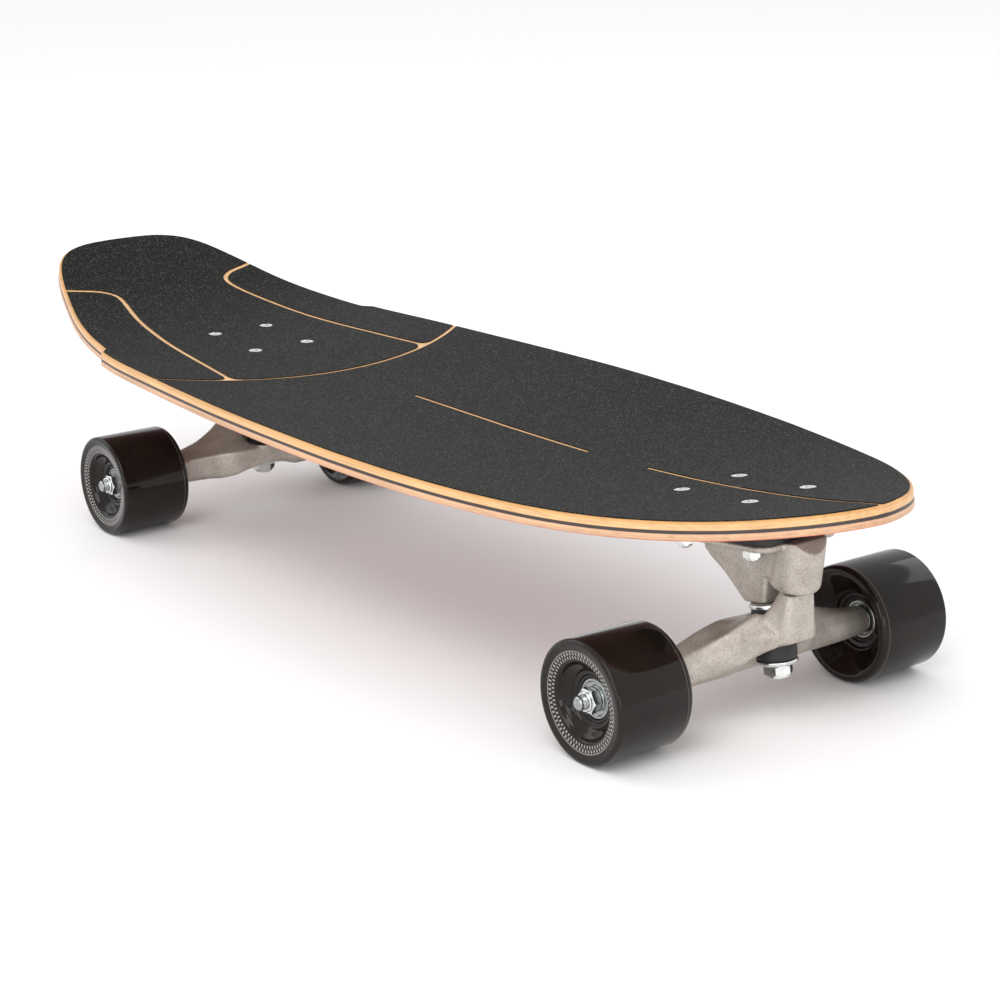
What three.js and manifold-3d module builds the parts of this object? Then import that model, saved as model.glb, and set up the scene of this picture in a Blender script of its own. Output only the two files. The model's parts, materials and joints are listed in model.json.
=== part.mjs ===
// Surf skateboard, millimetres, +Z up, +X to the nose, +Y to the rider's left.
// The origin is on the ground under the middle of the board's length and width.
import * as THREE from "three";
import { mergeVertices } from "three/addons/utils/BufferGeometryUtils.js";
import Module from "manifold-3d";

const wasm = await Module();
wasm.setup();

const V2 = THREE.Vector2;
const V3 = THREE.Vector3;
const degrees = THREE.MathUtils.degToRad;

// Driving dimensions of the board
const deckLength = 800;
const deckWidth = 255;
const tailOverhangShare = 0.254375;
const boltSpreadShare = 0.61875;
const frontTruckHeight = 80.6;
const tailRise = 49.5;
const noseRise = 22.4;
const concaveDepth = 7.4;

// Deck layers, measured square to the top face
const gripThickness = 0.5;
const glueLine = 0.1;
const upperPlies = 4.3;
const darkPly = 1.7;
const lowerPlies = 3.8;
const topRound = 1.4;
const bottomRound = 1.2;

// Grip tape layout
const gripInset = 1.6;
const gripGap = 3.4;
const arcRadius = 195;
const arcShare = 0.38625;
const stringerWidth = 3;
const stringerStartShare = 0.488;
const stringerBreakShare = 0.708;
const stringerResumeShare = 0.7725;

// Wheels and bearings
const wheelDiameter = 68.2;
const wheelWidth = 49.5;
const treadLip = 4;
const lipFlat = 1.1;
const hubRecess = 10.5;
const innerRecess = 15;
const hubRadius = 14.5;
const dishRadius = 25;
const outerDish = 4;
const innerDish = 4.5;
const coreRadius = 9;
const bearingOuter = 22;
const bearingWidth = 7;
const shieldSink = 0.5;
const outerRace = 1.9;
const innerRace = 2;
const spacerOuter = 12.4;

// Axles
const axleDiameter = 8;
const axleLength = 238.2;
const hangerWidth = 165;
const axleNutFlats = 12.7;
const axleNutHeight = 6.3;
const axleWasherRadius = 6.3;
const axleWasherThickness = 0.7;

// Mounting hardware
const boltPatternLength = 53.98;
const boltPatternWidth = 41.3;
const screwDiameter = 4.8;
const screwHeadDiameter = 9.2;
const screwHeadHeight = 3;
const screwHeadSink = 0.1;
const screwTip = 1;
const lockNutFlats = 9.5;
const lockNutHeight = 5.6;
const riserThickness = 10.4;
const flangeThickness = 3.4;
const flangeLength = 86;
const flangeWidth = 56;
const flangeCorner = 9;

// Kingpin stack, the same on both trucks
const kingpinDiameter = 9.5;
const kingpinHeadDiameter = 17;
const kingpinHeadHeight = 5.5;
const kingpinHeadSink = 1;
const kingpinNutFlats = 14.3;
const kingpinNutHeight = 7;
const kingpinTip = 0.6;
const ringBore = 8;
const seatDepth = 2;
const upperBushingHeight = 12;
const upperBushingRadius = 11.2;
const lowerBushingRadius = 11;
const lowerWasherRadius = 11.4;
const bushingLip = 1.4;
const washerThickness = 1.6;
const washerLip = 1;
const upperWasherRadius = 12;
const steeringRoomGap = 0.8;
const sweepSteps = 4;

// Pivot
const pivotBallRadius = 5.2;
const pivotStemRadius = 4.6;
const pivotCupWall = 2.4;
const pivotBallGap = 0.5;
const pivotCupSkirt = 4;
const pivotMouthDrop = 14.5;
const barrelRadius = 13.7;
const barrelLip = 3;
const mouthGap = 1.6;

// Base plate body
const lobeHalfWidth = 11;
const lobeLength = 16.5;
const lobeShift = 2;
const webHalfWidth = 13;
const webCorner = 1.6;

// Arms of the hanger
const armEndRadius = 8.6;
const armBossRadius = 6.2;
const armStartShare = 1.14;
const neckCorner = 3;

// Clearances
const fitGap = 0.3;
const screwGap = 0.35;
const overrun = 1;

// What differs between the two trucks. Out is toward the near end of the board, rise is square to the deck,
// and each tilt leans the upper end outward. A web share is [fall, inner reach, outer reach]. A wing share
// is [place along the half hanger, section points as shares of the arm's end radius].
const front = {
  name: "front",
  axleOut: -3.7,
  ringOut: 20.8,
  ringRise: 14.7,
  ringThickness: 10,
  ringRadius: 14.5,
  lowerBushingHeight: 11.6,
  pivotOut: 21,
  pivotRise: 42,
  kingpinTilt: -3.6,
  barrelTilt: 14,
  barrelRise: 18,
  roofOut: 41.5,
  roofTilt: 33,
  steerAngle: 22,
  neckShift: 1,
  neckHalfWidth: 10,
  neckInnerHalfWidth: 6.5,
  neckHalfDepth: 5.5,
  waistOut: 36.2,
  waistRise: 31,
  waistHalfWidth: 10,
  waistInnerHalfWidth: 13,
  waistHalfDepth: 8,
  footOut: 30.2,
  footRise: 13.5,
  footHalfWidth: 10,
  footInnerHalfWidth: 25,
  footHalfDepth: 12.5,
  webReach: 28,
  webShares: [
    [0, 1, 1.3], [0.25, 1, 1.2], [0.35, 0.88, 1.15], [0.5, 0.63, 1.05], [0.58, 0.5, 0.2], [1, 0, 0],
  ],
  wingShares: [
    [
      0, [-0.93, -0.58], [-0.23, -0.99], [0.81, -0.76], [1.28, 1.1], [3.84, 1.3],
      [4.19, 1.9], [3, 3.5], [1.2, 2.8], [-0.2, 2.5], [-0.93, 1.8],
    ],
    [
      0.182, [-0.93, -0.58], [-0.23, -0.99], [0.81, -0.76], [1.35, 0.6], [3.6, 1.48],
      [3.6, 2.3], [2.9, 3.5], [1.2, 2.8], [-0.2, 2.59], [-0.95, 1.8],
    ],
    [
      0.255, [-0.93, -0.58], [-0.2, -0.97], [0.75, -0.85], [1.5, -0.1], [3, 1.15],
      [2.95, 2], [2.4, 2.95], [1.1, 2.55], [-0.2, 2.6], [-0.97, 1.8],
    ],
    [
      0.303, [-0.95, -0.55], [-0.3, -0.98], [0.6, -0.9], [1.4, -0.45], [2.2, 0.35],
      [2.25, 1.4], [1.95, 2.5], [0.9, 2.25], [-0.2, 2.52], [-1, 1.75],
    ],
    [
      0.388, [-0.99, -0.52], [-0.35, -0.99], [0.35, -0.98], [0.95, -0.62], [1.55, -0.3],
      [1.7, 0.75], [1.4, 1.95], [0.6, 1.92], [-0.25, 2.35], [-1, 1.6],
    ],
    [
      0.582, [-1.05, -0.47], [-0.35, -0.99], [0.2, -1], [0.6, -0.85], [0.9, -0.55],
      [1.02, 0.35], [0.75, 1.27], [0.3, 1.5], [-0.3, 1.8], [-1.02, 1.1],
    ],
    [
      0.8, [-0.99, -0.47], [-0.41, -0.99], [0.23, -1], [0.7, -0.78], [0.95, -0.4],
      [1.02, 0.3], [0.6, 0.95], [0.15, 1.12], [-0.4, 1.18], [-0.98, 0.7],
    ],
  ],
};
const rear = {
  name: "rear",
  axleOut: 17.7,
  ringOut: -17,
  ringRise: 12.5,
  ringThickness: 11,
  ringRadius: 14,
  lowerBushingHeight: 5.5,
  pivotOut: 38.6,
  pivotRise: 38.5,
  kingpinTilt: -4,
  barrelTilt: 36,
  barrelRise: 12,
  roofOut: 43,
  roofTilt: 36,
  steerAngle: 14,
  neckShift: 0,
  neckHalfWidth: 11,
  neckInnerHalfWidth: 11,
  neckHalfDepth: 6.5,
  waistOut: 10,
  waistRise: 27,
  waistHalfWidth: 16,
  waistInnerHalfWidth: 16,
  waistHalfDepth: 6,
  footOut: 4,
  footRise: 13,
  footHalfWidth: 20,
  footInnerHalfWidth: 20,
  footHalfDepth: 9,
  webReach: 16,
  webShares: [[0, 1, 1], [0.25, 1, 0.6], [0.35, 0.88, 0.4], [0.55, 0.5, 0.1], [1, 0, 0]],
  wingShares: [
    [
      0, [-3.49, 0.4], [-1.4, 0.58], [-0.81, -0.7], [0.47, -0.87], [1.16, 0],
      [1.98, 2.56], [1.4, 3.26], [0.12, 2.79], [-3.37, 1.7],
    ],
    [
      0.206, [-3.26, 0.1], [-1.4, -0.1], [-0.7, -0.7], [0.47, -0.87], [1.16, 0],
      [1.98, 2.56], [1.4, 3.26], [0.12, 2.79], [-3.2, 1.72],
    ],
    [
      0.339, [-2.91, -0.3], [-1.4, -0.85], [-0.47, -0.93], [0.47, -0.81], [1.05, -0.12],
      [1.51, 1.98], [1.05, 2.62], [0.12, 2.21], [-2.85, 1.66],
    ],
    [
      0.485, [-1.86, -0.55], [-0.93, -0.87], [-0.23, -0.99], [0.52, -0.84], [0.99, -0.12],
      [1.22, 1.4], [0.7, 2.03], [0, 1.8], [-1.8, 1.32],
    ],
    [
      0.63, [-1.22, -0.58], [-0.47, -0.99], [0.06, -1.01], [0.58, -0.81], [0.97, -0.23],
      [0.99, 0.93], [0.41, 1.74], [-0.35, 1.57], [-1.1, 1.05],
    ],
    [
      0.8, [-0.99, -0.47], [-0.41, -0.99], [0.12, -1.02], [0.7, -0.77], [1.02, -0.12],
      [0.87, 0.64], [0.35, 1.28], [-0.47, 1.1], [-0.99, 0.58],
    ],
  ],
};

// Smallest sizes and facet counts
const weldDistance = 1e-4;
const wheelFacets = 24;
const roundFacets = 16;
const smallFacets = 10;
const screwFacets = 8;
const arcSegments = 16;
const acrossSegments = 4;
const cornerSegments = 3;

// Materials
function finish(colour, roughness, metalness) {
  return { color: colour, roughness, metalness };
}
const gripFinish = finish(0x3b3b3c, 0.95, 0);
const mapleFinish = finish(0xe0b27a, 0.45, 0);
const darkPlyFinish = finish(0x3a3231, 0.55, 0);
const lowerPlyFinish = finish(0xd9ab88, 0.45, 0);
const castFinish = finish(0x9f978f, 0.42, 0.9);
const zincFinish = finish(0xd0d3d4, 0.28, 1);
const urethaneFinish = finish(0x1f1b19, 0.25, 0);
const rubberFinish = finish(0x232426, 0.6, 0);
const steelFinish = finish(0xb9b9b8, 0.3, 1);
const plasticFinish = finish(0x17181a, 0.5, 0);

// Helpers that turn geometry into solids and back
function weld(geometry) {
  geometry.deleteAttribute("normal");
  geometry.deleteAttribute("uv");
  const merged = mergeVertices(geometry, weldDistance);
  const index = merged.index.array;
  const kept = [];
  for (let i = 0; i < index.length; i += 3) {
    const [a, b, c] = [index[i], index[i + 1], index[i + 2]];
    if (a !== b && b !== c && c !== a) {
      kept.push(a, b, c);
    }
  }
  merged.setIndex(kept);
  return merged;
}

function fromTriangles(points, faces) {
  const geometry = new THREE.BufferGeometry();
  const numbers = points.flatMap((p) => [p.x, p.y, p.z]);
  geometry.setAttribute("position", new THREE.Float32BufferAttribute(numbers, 3));
  geometry.setIndex(faces.flat());
  return geometry;
}

function signedVolume(geometry) {
  const position = geometry.attributes.position;
  const index = geometry.index.array;
  const a = new V3();
  const b = new V3();
  const c = new V3();
  let sum = 0;
  for (let i = 0; i < index.length; i += 3) {
    a.fromBufferAttribute(position, index[i]);
    b.fromBufferAttribute(position, index[i + 1]);
    c.fromBufferAttribute(position, index[i + 2]);
    sum += a.dot(b.cross(c));
  }
  return sum / 6;
}

function facingOut(geometry) {
  if (signedVolume(geometry) < 0) {
    const index = geometry.index.array;
    for (let i = 0; i < index.length; i += 3) {
      [index[i + 1], index[i + 2]] = [index[i + 2], index[i + 1]];
    }
  }
  return geometry;
}

function solid(geometry) {
  const closed = facingOut(weld(geometry));
  const mesh = new wasm.Mesh({
    numProp: 3,
    vertProperties: Float32Array.from(closed.attributes.position.array),
    triVerts: Uint32Array.from(closed.index.array),
  });
  return new wasm.Manifold(mesh);
}

function toGeometry(body) {
  const mesh = body.getMesh();
  const geometry = new THREE.BufferGeometry();
  geometry.setAttribute("position", new THREE.BufferAttribute(mesh.vertProperties, 3));
  geometry.setIndex(new THREE.BufferAttribute(mesh.triVerts, 1));
  return geometry;
}

function join(...pieces) {
  return pieces.reduce((whole, piece) => whole.add(piece));
}

function cut(body, ...tools) {
  return tools.reduce((rest, tool) => rest.subtract(tool), body);
}

// A stack of equal rings of points, closed by a fan at each end
function loft(rings) {
  const count = rings[0].length;
  const points = rings.flat();
  const faces = [];
  for (let level = 0; level + 1 < rings.length; level += 1) {
    for (let i = 0; i < count; i += 1) {
      const a = level * count + i;
      const b = level * count + ((i + 1) % count);
      faces.push([a, b, b + count], [a, b + count, a + count]);
    }
  }
  for (const [level, flip] of [[0, true], [rings.length - 1, false]]) {
    const middle = rings[level].reduce((sum, p) => sum.add(p), new V3()).divideScalar(count);
    points.push(middle);
    for (let i = 0; i < count; i += 1) {
      const a = level * count + i;
      const b = level * count + ((i + 1) % count);
      faces.push(flip ? [b, a, points.length - 1] : [a, b, points.length - 1]);
    }
  }
  return fromTriangles(points, faces);
}

// A turned piece about Z from [radius, height] pairs
function turned(profile, facets) {
  const geometry = new THREE.LatheGeometry(profile.map(([r, z]) => new V2(r, z)), facets);
  geometry.rotateX(Math.PI / 2);
  return geometry;
}

function tube(inner, outer, low, high, facets) {
  return turned([[inner, low], [outer, low], [outer, high], [inner, high], [inner, low]], facets);
}

function rod(radius, low, high, facets) {
  return turned([[0, low], [radius, low], [radius, high], [0, high]], facets);
}

function hexagon(flats) {
  const shape = new THREE.Shape();
  const radius = flats / Math.sqrt(3);
  for (let i = 0; i < 6; i += 1) {
    const angle = (i * Math.PI) / 3;
    shape[i === 0 ? "moveTo" : "lineTo"](radius * Math.cos(angle), radius * Math.sin(angle));
  }
  shape.closePath();
  return shape;
}

function hexPrism(flats, low, high, bore) {
  const shape = hexagon(flats);
  if (bore > 0) {
    shape.holes.push(new THREE.Path().absarc(0, 0, bore, 0, 2 * Math.PI, true));
  }
  const geometry = new THREE.ExtrudeGeometry(shape, {
    depth: high - low,
    bevelEnabled: false,
    curveSegments: smallFacets / 2,
  });
  geometry.translate(0, 0, low);
  return geometry;
}

function roundedPlate(length, width, corner, low, high) {
  const x = length / 2;
  const y = width / 2;
  const shape = new THREE.Shape();
  shape.absarc(x - corner, y - corner, corner, 0, Math.PI / 2);
  shape.absarc(corner - x, y - corner, corner, Math.PI / 2, Math.PI);
  shape.absarc(corner - x, corner - y, corner, Math.PI, 1.5 * Math.PI);
  shape.absarc(x - corner, corner - y, corner, 1.5 * Math.PI, 2 * Math.PI);
  const geometry = new THREE.ExtrudeGeometry(shape, {
    depth: high - low,
    bevelEnabled: false,
    curveSegments: cornerSegments,
  });
  geometry.translate(0, 0, low);
  return geometry;
}

// Moves geometry made along Z so that it lies along a tilted line in the XZ plane
function alongTilt(geometry, origin, tilt) {
  geometry.rotateY(tilt);
  geometry.translate(origin.x, origin.y, origin.z);
  return geometry;
}

// The assembly
const board = new THREE.Group();

function place(parent, name, geometry, look) {
  const closed = facingOut(weld(geometry));
  closed.computeVertexNormals();
  const mesh = new THREE.Mesh(closed, new THREE.MeshStandardMaterial(look));
  mesh.name = name;
  parent.add(mesh);
  return mesh;
}

// Deck surface. Stations are shares of the length from the tail, rises are shares of the tail or nose rise.
const tailRockerShares = [
  [0, 1], [0.063, 0.65], [0.126, 0.362], [0.201, 0.186], [0.314, 0.092], [0.439, 0.03], [0.61, 0],
];
const noseRockerShares = [
  [0.61, 0], [0.689, 0.014], [0.751, 0.067], [0.814, 0.179], [0.876, 0.362], [0.939, 0.634], [1, 1],
];
const concaveShares = [
  [0, 0.12], [0.126, 0.1], [0.25, 0.4], [0.36, 0.78], [0.5, 1], [0.75, 0.95], [0.876, 0.6], [1, 0.5],
];

function hermite(table, at) {
  const last = table.length - 1;
  const x = THREE.MathUtils.clamp(at, table[0][0], table[last][0]);
  let i = 0;
  while (i < last - 1 && x > table[i + 1][0]) {
    i += 1;
  }
  const secant = (j) => (table[j + 1][1] - table[j][1]) / (table[j + 1][0] - table[j][0]);
  const slope = (j) => (secant(Math.max(j - 1, 0)) + secant(Math.min(j, last - 1))) / 2;
  const span = table[i + 1][0] - table[i][0];
  const t = (x - table[i][0]) / span;
  const value = (2 * t ** 3 - 3 * t ** 2 + 1) * table[i][1] + (3 * t ** 2 - 2 * t ** 3) * table[i + 1][1];
  return value + span * ((t ** 3 - 2 * t ** 2 + t) * slope(i) + (t ** 3 - t ** 2) * slope(i + 1));
}

const tailX = -deckLength / 2;

function rockerRise(x) {
  const share = (x - tailX) / deckLength;
  if (share < tailRockerShares.at(-1)[0]) {
    return tailRise * hermite(tailRockerShares, share);
  }
  return noseRise * hermite(noseRockerShares, share);
}

function surfaceRise(x, y) {
  const across = (2 * y) / deckWidth;
  return rockerRise(x) + concaveDepth * hermite(concaveShares, (x - tailX) / deckLength) * across ** 2;
}

const slopeStepShare = 1e-4;
const slopeStep = deckLength * slopeStepShare;

function surfaceNormal(x, y) {
  const alongX = (surfaceRise(x + slopeStep, y) - surfaceRise(x - slopeStep, y)) / (2 * slopeStep);
  const alongY = (surfaceRise(x, y + slopeStep) - surfaceRise(x, y - slopeStep)) / (2 * slopeStep);
  return new V3(-alongX, -alongY, 1).normalize();
}

// Heights: the front truck carries the deck, and the rear truck is as tall as the deck leaves room for
const wheelRadius = wheelDiameter / 2;
const axleHeight = wheelRadius * Math.cos(Math.PI / wheelFacets);
const upperPliesDepth = gripThickness + glueLine;
const darkPlyDepth = upperPliesDepth + upperPlies + glueLine;
const lowerPliesDepth = darkPlyDepth + darkPly + glueLine;
const deckDepth = lowerPliesDepth + lowerPlies;
const rearX = tailX + tailOverhangShare * deckLength;
const frontX = rearX + boltSpreadShare * deckLength;
const frontNormal = surfaceNormal(frontX, 0);
const lowestHeight = axleHeight + frontTruckHeight + deckDepth * frontNormal.z - rockerRise(frontX);

function deckPoint(x, y, depth) {
  const point = new V3(x, y, lowestHeight + surfaceRise(x, y));
  return point.addScaledVector(surfaceNormal(x, y), -depth);
}

// Half outline from the middle of the tail to the tip of the nose, as shares of length and half width
const tailOutlineShares = [
  [0, 0], [0.0013, 0.18], [0.0045, 0.277], [0.0113, 0.369], [0.0213, 0.439], [0.0363, 0.502],
  [0.0625, 0.574], [0.0985, 0.65], [0.134, 0.718], [0.17, 0.772], [0.1925, 0.798], [0.216, 0.823],
];
const sideOutlineShares = [
  [0.2245, 0.868], [0.2625, 0.9], [0.32, 0.932], [0.38, 0.959], [0.44, 0.982], [0.5, 0.9955], [0.55, 1],
  [0.61, 0.9945], [0.67, 0.973], [0.73, 0.934], [0.79, 0.872], [0.84, 0.795], [0.88, 0.71], [0.91, 0.627],
  [0.935, 0.536], [0.957, 0.436], [0.974, 0.336], [0.987, 0.234], [0.9957, 0.12], [1, 0],
];
const halfOutline = [...tailOutlineShares, ...sideOutlineShares].map(
  ([along, across]) => new V2(tailX + along * deckLength, (across * deckWidth) / 2),
);

// The half outline moved inward by an inset, with its two ends kept on the centre line
function insetOutline(inset) {
  return halfOutline.map((point, i) => {
    const before = i === 0 ? new V2(point.x, -halfOutline[1].y) : halfOutline[i - 1];
    const last = i === halfOutline.length - 1;
    const after = last ? new V2(point.x, -halfOutline[i - 1].y) : halfOutline[i + 1];
    const along = after.clone().sub(before).normalize();
    return new V2(point.x + along.y * inset, i === 0 || last ? 0 : point.y - along.x * inset);
  });
}

// A layer of the deck. Levels are [depth, inset] pairs from its top to its bottom.
function deckLayer(levels) {
  const points = [];
  const faces = [];
  const lastStation = halfOutline.length - 1;
  const outlines = levels.map(([, inset]) => insetOutline(inset));
  const edge = levels.map(() => []);

  function cap(level, up) {
    const [depth] = levels[level];
    const rows = outlines[level].map((point, i) => {
      const steps = i === 0 || i === lastStation ? 0 : acrossSegments;
      const row = [];
      for (let j = 0; j <= steps; j += 1) {
        const y = steps === 0 ? 0 : point.y * (1 - (2 * j) / steps);
        row.push(points.push(deckPoint(point.x, y, depth)) - 1);
      }
      return row;
    });
    for (let i = 0; i < lastStation; i += 1) {
      for (let j = 0; j < acrossSegments; j += 1) {
        const [a, b] = [rows[i][j] ?? rows[i][0], rows[i][j + 1] ?? rows[i][0]];
        const [d, c] = [rows[i + 1][j] ?? rows[i + 1][0], rows[i + 1][j + 1] ?? rows[i + 1][0]];
        if (a !== b) {
          faces.push(up ? [a, b, c] : [a, c, b]);
        }
        if (c !== d) {
          faces.push(up ? [a, c, d] : [a, d, c]);
        }
      }
    }
    const left = rows.map((row) => row[0]);
    const right = rows.slice(1, -1).reverse().map((row) => row.at(-1));
    edge[level] = [...left, ...right];
  }

  cap(0, true);
  cap(levels.length - 1, false);
  for (let level = 1; level < levels.length - 1; level += 1) {
    const [depth] = levels[level];
    const left = outlines[level].map((p) => deckPoint(p.x, p.y, depth));
    const right = outlines[level].slice(1, -1).reverse().map((p) => deckPoint(p.x, -p.y, depth));
    edge[level] = [...left, ...right].map((p) => points.push(p) - 1);
  }
  for (let level = 0; level + 1 < levels.length; level += 1) {
    const upper = edge[level];
    const lower = edge[level + 1];
    for (let i = 0; i < upper.length; i += 1) {
      const k = (i + 1) % upper.length;
      faces.push([upper[i], upper[k], lower[k]], [upper[i], lower[k], lower[i]]);
    }
  }
  return fromTriangles(points, faces);
}

// Truck frames: X is outward, Z is square to the deck, and the origin is on the deck's underside
function truckFrame(x, outward) {
  const normal = surfaceNormal(x, 0);
  const frame = new THREE.Group();
  frame.position.copy(deckPoint(x, 0, deckDepth));
  const slope = Math.atan2(normal.x, normal.z);
  frame.rotation.set(0, slope, 0);
  const turn = new THREE.Group();
  turn.rotation.z = outward > 0 ? 0 : Math.PI;
  frame.add(turn);
  board.add(frame);
  board.updateMatrixWorld(true);
  return turn;
}

const frontFrame = truckFrame(frontX, 1);
const rearFrame = truckFrame(rearX, -1);

function axleDrop(frame, axleOut) {
  const ground = new V3(0, 0, 1).transformDirection(frame.matrixWorld.clone().invert());
  const origin = new V3().setFromMatrixPosition(frame.matrixWorld);
  return (axleHeight - origin.z - axleOut * ground.x) / ground.z;
}

// Mounting screws
const screwPlaces = [
  ["outer_left", 1, 1],
  ["outer_right", 1, -1],
  ["inner_left", -1, 1],
  ["inner_right", -1, -1],
];

function screwHoles(low, high) {
  return screwPlaces.map(([, outward, sideways]) => {
    const hole = rod(screwDiameter / 2 + screwGap, low, high, screwFacets);
    hole.translate((outward * boltPatternLength) / 2, (sideways * boltPatternWidth) / 2, 0);
    return solid(hole);
  });
}

const riserTop = -fitGap;
const flangeTop = riserTop - riserThickness - fitGap;
const flangeBottom = flangeTop - flangeThickness;
const lockNutBottom = flangeBottom - fitGap - lockNutHeight;
const screwEnd = lockNutBottom - screwTip;

function screwHeadTop(frame, x, y) {
  const local = new V3(x, y, 0).applyMatrix4(frame.matrixWorld);
  const inverse = frame.matrixWorld.clone().invert();
  return deckPoint(local.x, local.y, 0).applyMatrix4(inverse).z - screwHeadSink;
}

function screwShape(frame, x, y, grow, above) {
  const top = screwHeadTop(frame, x, y);
  const head = screwHeadDiameter / 2 + grow;
  const shank = screwDiameter / 2 + grow;
  const below = top - screwHeadHeight;
  const profile = [[0, screwEnd - grow], [shank, screwEnd - grow], [shank, below], [head, top]];
  if (above > 0) {
    profile.push([head, top + above]);
  }
  profile.push([0, top + above]);
  const geometry = turned(profile, screwFacets);
  geometry.translate(x, y, 0);
  return geometry;
}

const drills = [];
for (const [frame, truck] of [[frontFrame, front], [rearFrame, rear]]) {
  for (const [label, outward, sideways] of screwPlaces) {
    const x = (outward * boltPatternLength) / 2;
    const y = (sideways * boltPatternWidth) / 2;
    const shank = solid(screwShape(frame, x, y, 0, 0));
    const nut = hexPrism(lockNutFlats, lockNutBottom, lockNutBottom + lockNutHeight, 0);
    nut.translate(x, y, 0);
    place(frame, `${truck.name}_screw_${label}`, toGeometry(join(shank, solid(nut))), zincFinish);
    const drill = screwShape(frame, x, y, screwGap, overrun);
    drill.applyMatrix4(frame.matrixWorld);
    drills.push(solid(drill));
  }
}

// Deck plies
const roundShare = 1 - Math.SQRT1_2;
const layers = [
  [
    "deck_upper_plies",
    [
      [upperPliesDepth, topRound],
      [upperPliesDepth + topRound * roundShare, topRound * roundShare],
      [upperPliesDepth + topRound, 0],
      [upperPliesDepth + upperPlies, 0],
    ],
    mapleFinish,
  ],
  ["deck_dark_ply", [[darkPlyDepth, 0], [darkPlyDepth + darkPly, 0]], darkPlyFinish],
  [
    "deck_lower_plies",
    [[lowerPliesDepth, 0], [deckDepth - bottomRound, 0], [deckDepth, bottomRound]],
    lowerPlyFinish,
  ],
];
for (const [name, levels, look] of layers) {
  place(board, name, toGeometry(cut(solid(deckLayer(levels)), ...drills)), look);
}

// Grip tape panels, cut in plan from one sheet. The seam's points are shares of the length from the tail and
// of the half width.
const seamShares = [
  [0.0688, 0.7216], [0.0788, 0.5804], [0.0869, 0.4392], [0.0938, 0.3804], [0.1, 0.3569], [0.11, 0.3529],
  [0.13, 0.3765], [0.1575, 0.4118], [0.2162, 0.4667], [0.2775, 0.52], [0.33, 0.5647], [0.375, 0.6055],
];
const seamPoints = seamShares.map(([along, across]) => [along * deckLength, (across * deckWidth) / 2]);
const gripSheet = cut(solid(deckLayer([[0, gripInset], [gripThickness, gripInset]])), ...drills);

function seam(offset) {
  return seamPoints.map(([along, across], i) => {
    const before = seamPoints[Math.max(i - 1, 0)];
    const after = seamPoints[Math.min(i + 1, seamPoints.length - 1)];
    const way = new V2(after[0] - before[0], after[1] - before[1]).normalize();
    return new V2(tailX + along - way.y * offset, across + way.x * offset);
  });
}

function planPrism(shape) {
  const low = lowestHeight - deckDepth;
  const high = lowestHeight + tailRise + deckDepth;
  const geometry = new THREE.ExtrudeGeometry(shape, { depth: high - low, bevelEnabled: false });
  geometry.translate(0, 0, low);
  return solid(geometry);
}

function arcPoints(offset, from, to) {
  const centre = tailX + arcShare * deckLength - arcRadius;
  const radius = arcRadius + offset;
  const points = [];
  for (let i = 0; i <= arcSegments; i += 1) {
    const y = from + ((to - from) * i) / arcSegments;
    points.push(new V2(centre + Math.sqrt(radius ** 2 - y ** 2), y));
  }
  return points;
}

const wide = deckWidth / 2 + overrun;
const frontPlan = new THREE.Shape([
  ...arcPoints(gripGap / 2, -wide, wide),
  new V2(tailX + deckLength + overrun, wide),
  new V2(tailX + deckLength + overrun, -wide),
]);
const stringerRuns = [
  [stringerStartShare * deckLength, stringerBreakShare * deckLength],
  [stringerResumeShare * deckLength, deckLength + overrun],
];
const stringers = stringerRuns.map(([from, to]) => {
  const half = stringerWidth / 2;
  return planPrism(new THREE.Shape([
    new V2(tailX + from, -half),
    new V2(tailX + to, -half),
    new V2(tailX + to, half),
    new V2(tailX + from, half),
  ]));
});
const behindArc = new THREE.Shape([
  ...arcPoints(-gripGap / 2, -wide, wide),
  new V2(tailX - overrun, wide),
  new V2(tailX - overrun, -wide),
]);
const innerSeam = seam(-gripGap / 2);
const outerSeam = seam(gripGap / 2);
const centrePlan = new THREE.Shape([
  new V2(tailX - overrun, innerSeam[0].y),
  ...innerSeam,
  ...innerSeam.map((p) => new V2(p.x, -p.y)).reverse(),
  new V2(tailX - overrun, -innerSeam[0].y),
]);

function sidePlan(side) {
  return new THREE.Shape([
    ...outerSeam.map((p) => new V2(p.x, side * p.y)),
    new V2(outerSeam.at(-1).x, side * wide),
    new V2(outerSeam[0].x, side * wide),
  ]);
}

const tailSheet = gripSheet.intersect(planPrism(behindArc));
const frontSheet = cut(gripSheet.intersect(planPrism(frontPlan)), ...stringers);
place(board, "grip_front", toGeometry(frontSheet), gripFinish);
place(board, "grip_tail_centre", toGeometry(tailSheet.intersect(planPrism(centrePlan))), gripFinish);
place(board, "grip_tail_left", toGeometry(tailSheet.intersect(planPrism(sidePlan(1)))), gripFinish);
place(board, "grip_tail_right", toGeometry(tailSheet.intersect(planPrism(sidePlan(-1)))), gripFinish);

// Trucks
function sectionPoint(origin, tilt, along, side, up) {
  return new V3(along, side, up).applyAxisAngle(new V3(0, 1, 0), tilt).add(origin);
}

// A flat section: four sides with their corners cut, where the inward side may be wider than the outward one
function cutCornerSection(centre, tilt, halfDepth, halfWidth, corner, innerHalfWidth = halfWidth) {
  const x = halfDepth - corner;
  const y = halfWidth - corner;
  const innerY = innerHalfWidth - corner;
  const corners = [
    [halfDepth, y], [x, halfWidth], [-x, innerHalfWidth], [-halfDepth, innerY],
    [-halfDepth, -innerY], [-x, -innerHalfWidth], [x, -halfWidth], [halfDepth, -y],
  ];
  return corners.map(([u, v]) => sectionPoint(centre, tilt, u, v, 0));
}

// A section of the wing at one place along the axle
function wingSection(axle, side, pointShares) {
  return pointShares.map(([u, v]) => new V3(axle.x + u * armEndRadius, side, axle.z + v * armEndRadius));
}

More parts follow.
